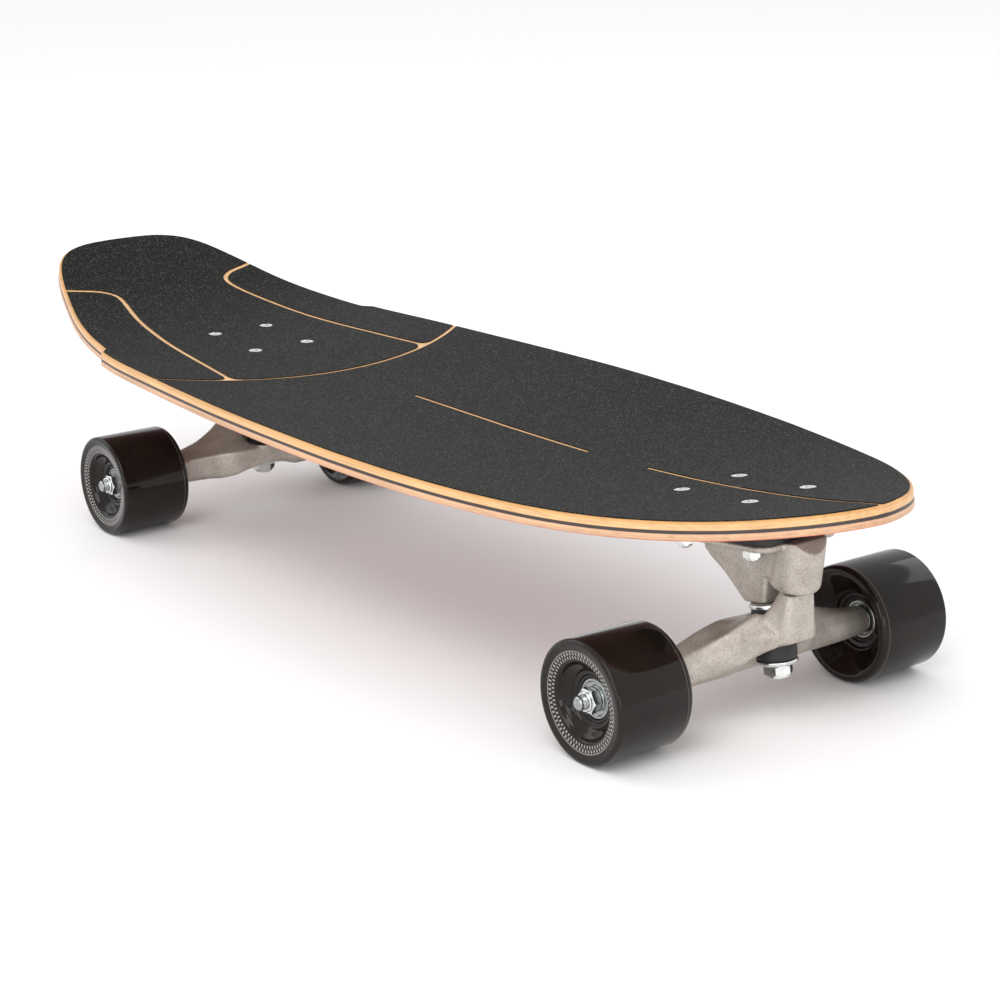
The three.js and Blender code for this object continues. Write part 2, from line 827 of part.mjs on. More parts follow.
function axialRod(radius, low, high, centre, facets) {
  const geometry = rod(radius, low, high, facets);
  geometry.rotateX(Math.PI / 2);
  geometry.translate(centre.x, centre.y, centre.z);
  return geometry;
}

function truckPlaces(frame, truck) {
  const axle = new V3(truck.axleOut, 0, axleDrop(frame, truck.axleOut));
  const ring = axle.clone().add(new V3(truck.ringOut, 0, truck.ringRise));
  const pivot = ring.clone().add(new V3(truck.pivotOut, 0, truck.pivotRise));
  const stack = stackHeights(truck);
  return { axle, ring, pivot, lean: degrees(truck.kingpinTilt), barrel: degrees(truck.barrelTilt), stack };
}

// Heights along the kingpin, measured from the middle of the ring
function stackHeights(truck) {
  const rim = truck.ringThickness / 2;
  const seat = rim - seatDepth;
  const upperLow = seat + fitGap;
  const upperHigh = upperLow + upperBushingHeight;
  const lobe = upperHigh + 2 * fitGap + washerThickness + washerLip;
  const lowerHigh = -seat - fitGap;
  const lowerLow = lowerHigh - truck.lowerBushingHeight;
  const washerLow = lowerLow - fitGap - washerThickness;
  const nutHigh = washerLow - fitGap;
  const nutLow = nutHigh - kingpinNutHeight;
  return { rim, seat, upperLow, upperHigh, lobe, lowerHigh, lowerLow, washerLow, nutHigh, nutLow };
}

const kingpinRadius = kingpinDiameter / 2;
const kingpinHole = kingpinRadius + fitGap;

function kingpinTop(places) {
  return (flangeTop - kingpinHeadSink - places.ring.z) / Math.cos(places.lean);
}

function basePlate(truck, places) {
  const { ring, pivot, lean, barrel, stack } = places;
  const kingpinFoot = sectionPoint(ring, lean, 0, 0, stack.lobe);
  const half = lobeLength / 2;
  const lobe = sectionPoint(kingpinFoot, lean, -lobeShift, 0, 0);
  const webTop = (flangeBottom + flangeTop) / 2;
  const webSections = truck.webShares.map(([fallShare, innerShare, outerShare]) => {
    const inner = lobe.x - half - innerShare * truck.webReach;
    const outer = lobe.x + half + outerShare * (pivot.x - lobe.x - half);
    const centre = new V3((inner + outer) / 2, 0, webTop + fallShare * (lobe.z - webTop));
    const halfWidth = THREE.MathUtils.lerp(webHalfWidth, lobeHalfWidth, fallShare);
    return cutCornerSection(centre, fallShare * lean, (outer - inner) / 2, halfWidth, webCorner);
  });
  const mouth = -pivotMouthDrop;
  const barrelBody = turned([
    [0, mouth], [barrelRadius - barrelLip, mouth], [barrelRadius, mouth + barrelLip],
    [barrelRadius, truck.barrelRise], [0, truck.barrelRise],
  ], roundFacets);
  const flange = roundedPlate(flangeLength, flangeWidth, flangeCorner, flangeBottom, flangeTop);
  const ceiling = new THREE.BoxGeometry(2 * flangeLength, 2 * flangeWidth, flangeLength);
  ceiling.translate(0, 0, flangeTop + flangeLength / 2);
  const roof = new THREE.BoxGeometry(2 * flangeLength, 2 * flangeWidth, flangeLength);
  roof.translate(flangeLength, 0, flangeLength / 2);
  const roofFoot = new V3(truck.roofOut, 0, flangeTop);
  const top = kingpinTop(places);
  const shaftHole = rod(kingpinHole, stack.lobe - overrun, top, smallFacets);
  const pocketLow = top - kingpinHeadHeight - fitGap;
  const pocket = rod(kingpinHeadDiameter / 2 + fitGap, pocketLow, top + flangeLength, smallFacets);
  const boreRadius = pivotBallRadius + pivotCupWall + 2 * fitGap;
  const bore = rod(boreRadius, mouth - overrun, boreRadius, smallFacets);
  return cut(
    join(solid(flange), solid(loft(webSections)), solid(alongTilt(barrelBody, pivot, barrel))),
    solid(ceiling),
    solid(alongTilt(roof, roofFoot, degrees(truck.roofTilt))),
    solid(alongTilt(shaftHole, ring, lean)),
    solid(alongTilt(pocket, ring, lean)),
    solid(alongTilt(bore, pivot, barrel)),
    ...screwHoles(flangeBottom - overrun, flangeTop + overrun),
  );
}

// What a piece on the kingpin sweeps through as the hanger steers, seen from the hanger
function steeringRooms(profile, truck, places) {
  const { ring, pivot, lean } = places;
  const axis = pivot.clone().sub(ring).normalize();
  const rooms = [];
  for (let i = 0; i <= sweepSteps; i += 1) {
    const turn = degrees(truck.steerAngle) * ((2 * i) / sweepSteps - 1);
    const room = alongTilt(turned(profile, roundFacets), ring, lean);
    room.translate(-ring.x, -ring.y, -ring.z);
    room.applyMatrix4(new THREE.Matrix4().makeRotationAxis(axis, turn));
    room.translate(ring.x, ring.y, ring.z);
    rooms.push(solid(room));
  }
  return rooms;
}

function hanger(truck, places) {
  const { axle, ring, pivot, lean, barrel, stack } = places;
  const halfSpan = hangerWidth / 2;
  const round = [];
  const corners = truck.wingShares[0].length - 1;
  for (let i = 0; i < corners; i += 1) {
    const angle = ((2 * i) / corners + armStartShare) * Math.PI;
    round.push([Math.cos(angle), Math.sin(angle)]);
  }
  const halfRows = [...truck.wingShares, [1, ...round]];
  const rows = [...halfRows.slice(1).map(([along, ...points]) => [-along, ...points]).reverse(), ...halfRows];
  const arms = loft(rows.map(([along, ...points]) => wingSection(axle, along * halfSpan, points)));
  const bossLength = halfSpan + axleWasherThickness;
  const boss = axialRod(armBossRadius, -bossLength, bossLength, axle, smallFacets);
  const eye = rod(truck.ringRadius, -stack.rim, stack.rim, roundFacets);
  const neckTop = sectionPoint(pivot, barrel, truck.neckShift, 0, -pivotMouthDrop - mouthGap);
  const foot = axle.clone().add(new V3(truck.footOut, 0, truck.footRise));
  const waist = axle.clone().add(new V3(truck.waistOut, 0, truck.waistRise));
  const neck = loft([
    cutCornerSection(foot, 0, truck.footHalfDepth, truck.footHalfWidth, neckCorner, truck.footInnerHalfWidth),
    cutCornerSection(
      waist, barrel / 2, truck.waistHalfDepth, truck.waistHalfWidth, neckCorner, truck.waistInnerHalfWidth,
    ),
    cutCornerSection(
      neckTop, barrel, truck.neckHalfDepth, truck.neckHalfWidth, neckCorner, truck.neckInnerHalfWidth,
    ),
  ]);
  const stemLow = -pivotMouthDrop - 2 * mouthGap;
  const half = pivotBallRadius * Math.SQRT1_2;
  const stem = turned([
    [0, stemLow], [pivotStemRadius, stemLow], [pivotStemRadius, -half], [pivotBallRadius, 0],
    [half, half], [0, pivotBallRadius],
  ], smallFacets);
  const upperEdge = upperWasherRadius + steeringRoomGap;
  const washerEdge = lowerWasherRadius + steeringRoomGap;
  const nutEdge = kingpinNutFlats / Math.sqrt(3) + steeringRoomGap;
  const step = stack.washerLow - steeringRoomGap;
  const high = stack.lobe + truck.ringRadius;
  const low = stack.nutLow - truck.ringRadius;
  const upperProfile = [[0, stack.rim], [upperEdge, stack.rim], [upperEdge, high], [0, high]];
  const lowerProfile = [
    [0, low], [nutEdge, low], [nutEdge, step], [washerEdge, step], [washerEdge, -stack.rim], [0, -stack.rim],
  ];
  const upperSeat = rod(upperBushingRadius + fitGap, stack.seat, stack.rim + overrun, roundFacets);
  const lowerSeat = rod(lowerBushingRadius + fitGap, -stack.rim - overrun, -stack.seat, roundFacets);
  const throat = rod(ringBore, -stack.rim, stack.rim, smallFacets);
  const axleHole = axialRod(axleDiameter / 2 + fitGap, -hangerWidth, hangerWidth, axle, smallFacets);
  const stemSolid = solid(alongTilt(stem, pivot, barrel));
  return cut(
    join(solid(arms), solid(boss), solid(alongTilt(eye, ring, lean)), solid(neck), stemSolid),
    ...steeringRooms(upperProfile, truck, places),
    ...steeringRooms(lowerProfile, truck, places),
    solid(alongTilt(upperSeat, ring, lean)),
    solid(alongTilt(lowerSeat, ring, lean)),
    solid(alongTilt(throat, ring, lean)),
    solid(axleHole),
  );
}

// A bushing whose two end lips are narrower than its body
function bushing(radius, low, high) {
  const lip = radius - bushingLip;
  return turned([
    [kingpinHole, low], [lip, low], [radius, low + bushingLip], [radius, high - bushingLip], [lip, high],
    [kingpinHole, high], [kingpinHole, low],
  ], smallFacets);
}

// A dished washer. Its flat side is at flat and its rim stands toward rim.
function cupWasher(radius, flat, rim) {
  const face = flat + Math.sign(rim - flat) * washerThickness;
  const lip = radius - washerLip;
  return turned([
    [kingpinHole, flat], [lip, flat], [radius, face], [radius, rim], [lip, face], [kingpinHole, face],
    [kingpinHole, flat],
  ], roundFacets);
}

function buildTruck(frame, truck) {
  const places = truckPlaces(frame, truck);
  const { axle, ring, pivot, lean, barrel, stack } = places;
  const label = truck.name;
  const pad = roundedPlate(flangeLength, flangeWidth, flangeCorner, riserTop - riserThickness, riserTop);
  const riser = cut(solid(pad), ...screwHoles(flangeTop - overrun, riserTop + overrun));
  place(frame, `${label}_riser_pad`, toGeometry(riser), rubberFinish);
  place(frame, `${label}_base_plate`, toGeometry(basePlate(truck, places)), castFinish);
  place(frame, `${label}_hanger`, toGeometry(hanger(truck, places)), castFinish);

  const cupOuter = pivotBallRadius + pivotCupWall + fitGap;
  const cupInner = pivotBallRadius + pivotBallGap;
  const bend = cupInner * Math.SQRT1_2;
  const cup = turned([
    [0, cupOuter], [cupOuter, cupOuter], [cupOuter, -pivotCupSkirt], [cupInner, -pivotCupSkirt],
    [cupInner, 0], [bend, bend], [0, cupInner],
  ], smallFacets);
  place(frame, `${label}_pivot_cup`, alongTilt(cup, pivot, barrel), plasticFinish);

  const top = kingpinTop(places);
  const headLow = top - kingpinHeadHeight;
  const kingpin = turned([
    [0, stack.nutLow - kingpinTip], [kingpinRadius, stack.nutLow - kingpinTip], [kingpinRadius, headLow],
    [kingpinHeadDiameter / 2, headLow], [kingpinHeadDiameter / 2, top], [0, top],
  ], smallFacets);
  place(frame, `${label}_kingpin`, alongTilt(kingpin, ring, lean), zincFinish);
  const nut = hexPrism(kingpinNutFlats, stack.nutLow, stack.nutHigh, kingpinHole);
  place(frame, `${label}_kingpin_nut`, alongTilt(nut, ring, lean), zincFinish);

  const upper = bushing(upperBushingRadius, stack.upperLow, stack.upperHigh);
  place(frame, `${label}_upper_bushing`, alongTilt(upper, ring, lean), rubberFinish);
  const lower = bushing(lowerBushingRadius, stack.lowerLow, stack.lowerHigh);
  place(frame, `${label}_lower_bushing`, alongTilt(lower, ring, lean), rubberFinish);
  const upperCup = cupWasher(upperWasherRadius, stack.lobe - fitGap, stack.upperHigh + fitGap - washerLip);
  place(frame, `${label}_upper_washer`, alongTilt(upperCup, ring, lean), zincFinish);
  const lowerCup = cupWasher(lowerWasherRadius, stack.washerLow, stack.lowerLow - fitGap + washerLip);
  place(frame, `${label}_lower_washer`, alongTilt(lowerCup, ring, lean), zincFinish);

  const half = axleLength / 2;
  place(frame, `${label}_axle`, axialRod(axleDiameter / 2, -half, half, axle, smallFacets), steelFinish);
  return axle.clone().applyMatrix4(frame.matrixWorld);
}

// Wheels. Each profile is [radius, distance outward from the wheel's inner face].
const bearingHole = axleDiameter / 2 + fitGap;
const bearingRadius = bearingOuter / 2;
const innerBearingLow = innerRecess;
const outerBearingHigh = wheelWidth - hubRecess;
const outerBearingLow = outerBearingHigh - bearingWidth;
const innerBearingHigh = innerBearingLow + bearingWidth;
const wheelInnerFace = hangerWidth / 2 + axleWasherThickness + fitGap - innerRecess;

function wheelProfile() {
  const seat = bearingRadius + fitGap;
  const lip = wheelRadius - treadLip;
  const bend = wheelRadius - lipFlat;
  return [
    [seat, innerBearingLow], [seat, innerBearingHigh + fitGap], [coreRadius, innerBearingHigh + fitGap],
    [coreRadius, outerBearingLow - fitGap], [seat, outerBearingLow - fitGap], [seat, outerBearingHigh],
    [hubRadius, outerBearingHigh], [dishRadius, wheelWidth - outerDish], [lip, wheelWidth],
    [bend, wheelWidth - lipFlat], [wheelRadius, wheelWidth - treadLip], [wheelRadius, treadLip],
    [bend, lipFlat], [lip, 0], [dishRadius, innerDish], [hubRadius, innerBearingLow], [seat, innerBearingLow],
  ];
}

function bearingProfile(low, outward) {
  const high = low + bearingWidth;
  const open = outward > 0 ? high : low;
  const shield = open - outward * shieldSink;
  const closed = outward > 0 ? low : high;
  const raceIn = bearingHole + innerRace;
  const raceOut = bearingRadius - outerRace;
  return [
    [bearingHole, closed], [bearingRadius, closed], [bearingRadius, open], [raceOut, open], [raceOut, shield],
    [raceIn, shield], [raceIn, open], [bearingHole, open], [bearingHole, closed],
  ];
}

// Lays a piece made along Z on the axle, pointing outward on its side of the board
function onAxle(geometry, centre, side, facets) {
  geometry.rotateZ(Math.PI / facets + Math.PI / 2);
  geometry.rotateX((-side * Math.PI) / 2);
  geometry.translate(centre.x, side * wheelInnerFace, centre.z);
  return geometry;
}

function buildWheel(truck, centre, side) {
  const label = `${truck.name}_${side > 0 ? "left" : "right"}`;
  const wheel = turned(wheelProfile(), wheelFacets);
  place(board, `${label}_wheel`, onAxle(wheel, centre, side, wheelFacets), urethaneFinish);
  const outer = turned(bearingProfile(outerBearingLow, 1), roundFacets);
  place(board, `${label}_outer_bearing`, onAxle(outer, centre, side, roundFacets), steelFinish);
  const inner = turned(bearingProfile(innerBearingLow, -1), roundFacets);
  place(board, `${label}_inner_bearing`, onAxle(inner, centre, side, roundFacets), steelFinish);
  const [spacerLow, spacerHigh] = [innerBearingHigh + fitGap, outerBearingLow - fitGap];
  const spacer = tube(bearingHole, spacerOuter / 2, spacerLow, spacerHigh, smallFacets);
  place(board, `${label}_bearing_spacer`, onAxle(spacer, centre, side, smallFacets), steelFinish);
  const washerLow = outerBearingHigh + fitGap;
  const washer = tube(bearingHole, axleWasherRadius, washerLow, washerLow + axleWasherThickness, smallFacets);
  const nut = hexPrism(axleNutFlats, washerLow, washerLow + axleWasherThickness + axleNutHeight, bearingHole);
  const pair = toGeometry(join(solid(washer), solid(nut)));
  place(board, `${label}_axle_nut`, onAxle(pair, centre, side, smallFacets), zincFinish);
}

for (const [frame, truck] of [[frontFrame, front], [rearFrame, rear]]) {
  const centre = buildTruck(frame, truck);
  buildWheel(truck, centre, 1);
  buildWheel(truck, centre, -1);
}

// The origin is under the middle of the whole board
const overall = new THREE.Box3().setFromObject(board, true);
const middle = overall.getCenter(new V3());
board.position.set(-middle.x, -middle.y, -overall.min.z);

export default board;
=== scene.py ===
"""Surf skateboard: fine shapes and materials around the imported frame. Millimetres until a mesh is made."""
import json
import math
from types import SimpleNamespace

import bmesh
import bpy
import numpy as np
from mathutils import Matrix, Vector


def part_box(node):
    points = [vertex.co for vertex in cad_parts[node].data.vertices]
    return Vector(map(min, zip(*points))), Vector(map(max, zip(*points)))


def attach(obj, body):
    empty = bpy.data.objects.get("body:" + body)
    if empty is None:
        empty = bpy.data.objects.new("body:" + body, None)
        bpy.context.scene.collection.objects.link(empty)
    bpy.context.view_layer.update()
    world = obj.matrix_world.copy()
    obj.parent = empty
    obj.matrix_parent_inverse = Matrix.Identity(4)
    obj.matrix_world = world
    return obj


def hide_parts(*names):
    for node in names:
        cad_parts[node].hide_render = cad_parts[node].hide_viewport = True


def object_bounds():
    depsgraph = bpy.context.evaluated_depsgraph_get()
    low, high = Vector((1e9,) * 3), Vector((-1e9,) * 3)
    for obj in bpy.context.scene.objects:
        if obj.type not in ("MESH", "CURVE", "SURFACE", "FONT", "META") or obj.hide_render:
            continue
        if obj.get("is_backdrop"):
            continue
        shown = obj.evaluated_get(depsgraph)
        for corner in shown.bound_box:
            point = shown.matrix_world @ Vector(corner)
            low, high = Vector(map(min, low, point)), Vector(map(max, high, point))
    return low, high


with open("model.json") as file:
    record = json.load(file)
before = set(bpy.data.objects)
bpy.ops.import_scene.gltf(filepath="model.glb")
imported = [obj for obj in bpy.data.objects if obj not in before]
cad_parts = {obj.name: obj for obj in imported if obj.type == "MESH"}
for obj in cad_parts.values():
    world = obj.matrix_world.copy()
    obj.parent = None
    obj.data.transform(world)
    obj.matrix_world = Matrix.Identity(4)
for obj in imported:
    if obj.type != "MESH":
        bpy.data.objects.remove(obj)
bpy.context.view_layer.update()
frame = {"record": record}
record = frame["record"]
MM = 0.001
MIRROR = np.array([1, -1])

# Sizes of the board, the same as in the part's source
DECK_LENGTH, DECK_WIDTH = 800.0, 255.0
TAIL_X = -DECK_LENGTH / 2
TAIL_OVERHANG, BOLT_SPREAD = 203.5, 495.0
TRUCK_HEIGHT = 80.6
TAIL_RISE, NOSE_RISE, CONCAVE_DEPTH = 49.5, 22.4, 7.4
GRIP_DEPTH, GLUE_LINE = 0.5, 0.1
UPPER_PLIES, DARK_PLY, LOWER_PLIES = 4.3, 1.7, 3.8
TOP_ROUND, BOTTOM_ROUND = 1.4, 1.2
GRIP_INSET, GRIP_GAP = 1.6, 3.4
ARC_RADIUS, ARC_FROM_TAIL = 195.0, 309.0
STRINGER_WIDTH = 3.0
STRINGERS = ((390.4, 566.4), (618.0, DECK_LENGTH + 1))
PATTERN_LENGTH, PATTERN_WIDTH = 53.98, 41.3
FIT = 0.3
RISER, FLANGE = 10.4, 3.4
FLANGE_LENGTH, FLANGE_WIDTH, FLANGE_CORNER = 86.0, 56.0, 9.0
NUT_FLATS, NUT_HEIGHT, SCREW_TIP = 9.5, 5.6, 1.0
SCREW_RADIUS, HEAD_RADIUS, HEAD_HEIGHT, HEAD_SINK = 2.4, 4.6, 3.0, 0.1
RISER_TOP = -FIT
FLANGE_TOP = RISER_TOP - RISER - FIT
FLANGE_BOTTOM = FLANGE_TOP - FLANGE
NUT_BOTTOM = FLANGE_BOTTOM - FIT - NUT_HEIGHT
WHEEL_RADIUS, WHEEL_WIDTH, WHEEL_FACETS = 34.1, 49.5, 24
AXLE_HEIGHT = WHEEL_RADIUS * math.cos(math.pi / WHEEL_FACETS)
HUB_RECESS, INNER_RECESS = 10.5, 15.0
AXLE_RADIUS, AXLE_LENGTH, HANGER_WIDTH = 4.0, 238.2, 165.0
AXLE_NUT_FLATS, AXLE_BORE = 12.7, AXLE_RADIUS + FIT
BEARING_RADIUS, BEARING_WIDTH = 11.0, 7.0
BOSS_RADIUS, BOSS_REACH = 6.2, 0.7
WHEEL_FACE = HANGER_WIDTH / 2 + BOSS_REACH + FIT - INNER_RECESS
KINGPIN_RADIUS, KINGPIN_HOLE = 4.75, 5.05
KINGPIN_HEAD_RADIUS, KINGPIN_HEAD = 8.5, 5.5
KINGPIN_NUT_FLATS, KINGPIN_NUT_HEIGHT = 14.3, 7.0
WASHER, WASHER_LIP = 1.6, 1.0
UPPER_WASHER_RADIUS, LOWER_WASHER_RADIUS = 12.0, 11.4
UPPER_BUSHING, UPPER_BUSHING_RADIUS, LOWER_BUSHING_RADIUS = 12.0, 11.2, 11.0
SEAT_DEPTH, RING_HOLE = 2.0, 8.0
ARM_END = 8.6
BALL_RADIUS, CUP_WALL, CUP_GAP = 5.2, 2.4, 0.5
BARREL_RADIUS, MOUTH = 13.7, -14.5

TAIL_ROCKER = [(0, 1), (0.063, 0.65), (0.126, 0.362), (0.201, 0.186), (0.314, 0.092), (0.439, 0.03), (0.61, 0)]
NOSE_ROCKER = [(0.61, 0), (0.689, 0.014), (0.751, 0.067), (0.814, 0.179), (0.876, 0.362), (0.939, 0.634),
               (1, 1)]
CONCAVE = [(0, 0.12), (0.126, 0.1), (0.25, 0.4), (0.36, 0.78), (0.5, 1), (0.75, 0.95), (0.876, 0.6), (1, 0.5)]
TAIL_OUTLINE = [
    (0, 0), (0.0013, 0.18), (0.0045, 0.277), (0.0113, 0.369), (0.0213, 0.439), (0.0363, 0.502),
    (0.0625, 0.574), (0.0985, 0.65), (0.134, 0.718), (0.17, 0.772), (0.1925, 0.798), (0.216, 0.823),
]
SIDE_OUTLINE = [
    (0.2245, 0.868), (0.2625, 0.9), (0.32, 0.932), (0.38, 0.959), (0.44, 0.982), (0.5, 0.9955), (0.55, 1),
    (0.61, 0.9945), (0.67, 0.973), (0.73, 0.934), (0.79, 0.872), (0.84, 0.795), (0.88, 0.71), (0.91, 0.627),
    (0.935, 0.536), (0.957, 0.436), (0.974, 0.336), (0.987, 0.234), (0.9957, 0.12), (1, 0),
]
SEAM = [
    (0.0688, 0.7216), (0.0788, 0.5804), (0.0869, 0.4392), (0.0938, 0.3804), (0.1, 0.3569), (0.11, 0.3529),
    (0.13, 0.3765), (0.1575, 0.4118), (0.2162, 0.4667), (0.2775, 0.52), (0.33, 0.5647), (0.375, 0.6055),
]
# Each row is a share of the arm's length and the section's corners, in hundredths of the end's radius
FRONT_WING = [
    (0, -93, -58, -23, -99, 81, -76, 128, 110, 384, 130, 419, 190, 300, 350, 120, 280, -20, 250, -93, 180),
    (0.182, -93, -58, -23, -99, 81, -76, 150, 20, 420, 135, 430, 220, 295, 350, 120, 280, -20, 259, -95, 180),
    (0.255, -93, -58, -20, -97, 75, -85, 155, -25, 330, 95, 325, 200, 240, 295, 110, 255, -20, 260, -97, 180),
    (0.303, -95, -55, -30, -98, 60, -90, 140, -50, 260, 40, 250, 150, 195, 250, 90, 225, -20, 252, -100, 175),
    (0.388, -99, -52, -35, -99, 35, -98, 95, -62, 155, -30, 170, 75, 140, 195, 60, 192, -25, 235, -100, 160),
    (0.582, -105, -47, -35, -99, 20, -100, 60, -85, 90, -55, 102, 35, 75, 127, 30, 150, -30, 180, -102, 110),
    (0.8, -99, -47, -41, -99, 23, -100, 70, -78, 95, -40, 102, 30, 60, 95, 15, 112, -40, 118, -98, 70),
]
REAR_WING = [
    (0, -349, 40, -140, 58, -81, -70, 47, -87, 116, 0, 198, 256, 140, 326, 12, 279, -337, 170),
    (0.206, -326, 10, -140, -10, -70, -70, 47, -87, 116, 0, 198, 256, 140, 326, 12, 279, -320, 172),
    (0.339, -291, -30, -140, -85, -47, -93, 47, -81, 105, -12, 151, 198, 105, 262, 12, 221, -285, 166),
    (0.485, -186, -55, -93, -87, -23, -99, 52, -84, 99, -12, 122, 140, 70, 203, 0, 180, -180, 132),
    (0.63, -122, -58, -47, -99, 6, -101, 58, -81, 97, -23, 99, 93, 41, 174, -35, 157, -110, 105),
    (0.8, -99, -47, -41, -99, 12, -102, 70, -77, 102, -12, 87, 64, 35, 128, -47, 110, -99, 58),
]
# The front barrel's roof is cut steeper than in the part's source
FRONT = SimpleNamespace(
    name="front", x=TAIL_X + TAIL_OVERHANG + BOLT_SPREAD, outward=1, axle_out=-3.7, ring=(20.8, 14.7),
    ring_thick=10.0, ring_radius=14.5, lower_bushing=11.6, pivot=(21.0, 42.0), lean=-3.6, barrel=14.0,
    barrel_rise=18.0, roof_out=49.0, roof_tilt=56.0, steer=22.0, neck_shift=1.0, neck=(5.5, 10.0, 6.5),
    waist=(36.2, 31.0, 8.0, 10.0, 13.0), foot=(30.2, 13.5, 12.5, 10.0, 25.0), web_reach=28.0,
    web=[(0, 1, 1.3), (0.25, 1, 1.2), (0.35, 0.88, 1.15), (0.5, 0.63, 1.05), (0.58, 0.5, 0.2), (1, 0, 0)],
    wing=FRONT_WING,
)
REAR = SimpleNamespace(
    name="rear", x=TAIL_X + TAIL_OVERHANG, outward=-1, axle_out=17.7, ring=(-17.0, 12.5),
    ring_thick=11.0, ring_radius=14.0, lower_bushing=5.5, pivot=(38.6, 38.5), lean=-4.0, barrel=36.0,
    barrel_rise=12.0, roof_out=43.0, roof_tilt=36.0, steer=14.0, neck_shift=0.0, neck=(6.5, 11.0, 11.0),
    waist=(10.0, 27.0, 6.0, 16.0, 16.0), foot=(4.0, 13.0, 9.0, 20.0, 20.0), web_reach=16.0,
    web=[(0, 1, 1), (0.25, 1, 0.6), (0.35, 0.88, 0.4), (0.55, 0.5, 0.1), (1, 0, 0)],
    wing=REAR_WING,
)
TRUCKS = FRONT, REAR


# Curves
def slopes_of(xs, ys):
    """The slope at each point, the mean of those of the two spans beside it."""
    secant = np.diff(ys, axis=0) / np.diff(xs).reshape((-1,) + (1,) * (ys.ndim - 1))
    j = np.arange(len(xs))
    return (secant[np.maximum(j - 1, 0)] + secant[np.minimum(j, len(xs) - 2)]) / 2


def cubic(xs, ys, at):
    """The smooth curve through (xs, ys), read at the places at. ys may hold points."""
    xs, ys, at = np.asarray(xs, float), np.asarray(ys, float), np.asarray(at, float)
    at = np.clip(at, xs[0], xs[-1])
    slope = slopes_of(xs, ys)
    i = np.clip(np.searchsorted(xs, at, side="left") - 1, 0, len(xs) - 2)
    shape = at.shape + (1,) * (ys.ndim - 1)
    span = (xs[i + 1] - xs[i]).reshape(shape)
    t = ((at - xs[i]).reshape(shape)) / span
    low, high = ys[i], ys[i + 1]
    value = (2 * t**3 - 3 * t**2 + 1) * low + (3 * t**2 - 2 * t**3) * high
    return value + span * ((t**3 - 2 * t**2 + t) * slope[i] + (t**3 - t**2) * slope[i + 1])


def along_points(points, step):
    """A smooth curve through points, resampled at about step apart."""
    points = np.asarray(points, float)
    chord = np.linalg.norm(np.diff(points, axis=0), axis=1)
    place = np.concatenate([[0], np.cumsum(np.sqrt(chord))])
    at = [place[0]]
    for k, c in enumerate(chord):
        n = max(1, round(c / step))
        at += list(place[k] + (place[k + 1] - place[k]) * (np.arange(n) + 1) / n)
    return cubic(place, points, np.array(at))


def soften(points, radius, steps=4, closed=True):
    """Rounds the corners of a polyline. radius is one number or one per corner."""
    points = [np.asarray(p, float) for p in points]
    radii = np.broadcast_to(radius, len(points))
    out = []
    for k, p in enumerate(points):
        if not closed and k in (0, len(points) - 1) or radii[k] <= 0:
            out.append(p)
            continue
        ends = []
        for q in (points[k - 1], points[(k + 1) % len(points)]):
            reach = np.linalg.norm(q - p)
            ends.append(p + (q - p) * min(radii[k] / reach, 0.48))
        for t in np.linspace(0, 1, steps + 1):
            out.append((1 - t) ** 2 * ends[0] + 2 * t * (1 - t) * p + t**2 * ends[1])
    return np.array(out)


def unit(vectors):
    return vectors / np.linalg.norm(vectors, axis=-1, keepdims=True)


# Surface of the deck
def read(table, x):
    """A table's value at x, where the table's places are shares of the deck's length."""
    return cubic(*np.array(table).T, (np.asarray(x, float) - TAIL_X) / DECK_LENGTH)


def rocker(x):
    at_tail = (np.asarray(x, float) - TAIL_X) / DECK_LENGTH < NOSE_ROCKER[0][0]
    return np.where(at_tail, TAIL_RISE * read(TAIL_ROCKER, x), NOSE_RISE * read(NOSE_ROCKER, x))


def rise(x, y):
    """The height of the deck's top over its lowest line, with the rocker and the concave."""
    return rocker(x) + CONCAVE_DEPTH * read(CONCAVE, x) * (2 * np.asarray(y, float) / DECK_WIDTH) ** 2


def deck_normal(x, y, h=0.08):
    gx = (rise(x + h, y) - rise(x - h, y)) / (2 * h)
    gy = (rise(x, y + h) - rise(x, y - h)) / (2 * h)
    return unit(np.stack([-gx, -gy, np.ones_like(gx)], -1))


UPPER_DEPTH = GRIP_DEPTH + GLUE_LINE
DARK_DEPTH = UPPER_DEPTH + UPPER_PLIES + GLUE_LINE
LOWER_DEPTH = DARK_DEPTH + DARK_PLY + GLUE_LINE
DECK_DEPTH = LOWER_DEPTH + LOWER_PLIES
front_normal = deck_normal(FRONT.x, 0.0)
LOWEST = AXLE_HEIGHT + TRUCK_HEIGHT + DECK_DEPTH * front_normal[2] - float(rocker(FRONT.x))


def deck_point(x, y, depth):
    """The point that lies depth under the deck's top, square to it."""
    x, y = np.broadcast_arrays(np.asarray(x, float), np.asarray(y, float))
    return np.stack([x, y, LOWEST + rise(x, y)], -1) - depth * deck_normal(x, y)


OUTLINE_STEP, NEAR_MIDDLE = 5.0, 0.3


def on_plan(shares):
    x, y = np.array(shares, float).T
    return np.stack([TAIL_X + x * DECK_LENGTH, y * DECK_WIDTH / 2], -1)


def half_outline():
    """The left half of the deck's outline, from the middle of the tail to the middle of the nose."""
    tail, side = on_plan(TAIL_OUTLINE), on_plan(SIDE_OUTLINE)
    tail = along_points(np.vstack([tail[2:0:-1] * MIRROR, tail]), OUTLINE_STEP)
    side = along_points(np.vstack([side, side[-2:-4:-1] * MIRROR]), OUTLINE_STEP)
    tail, side = tail[tail[:, 1] > NEAR_MIDDLE], side[side[:, 1] > NEAR_MIDDLE]
    step_out = tail[-1] + (side[0] - tail[-1]) * np.linspace(0, 1, 5)[1:-1, None]
    return np.vstack([(TAIL_X, 0), tail, step_out, side, (TAIL_X + DECK_LENGTH, 0)])


OUTLINE = half_outline()


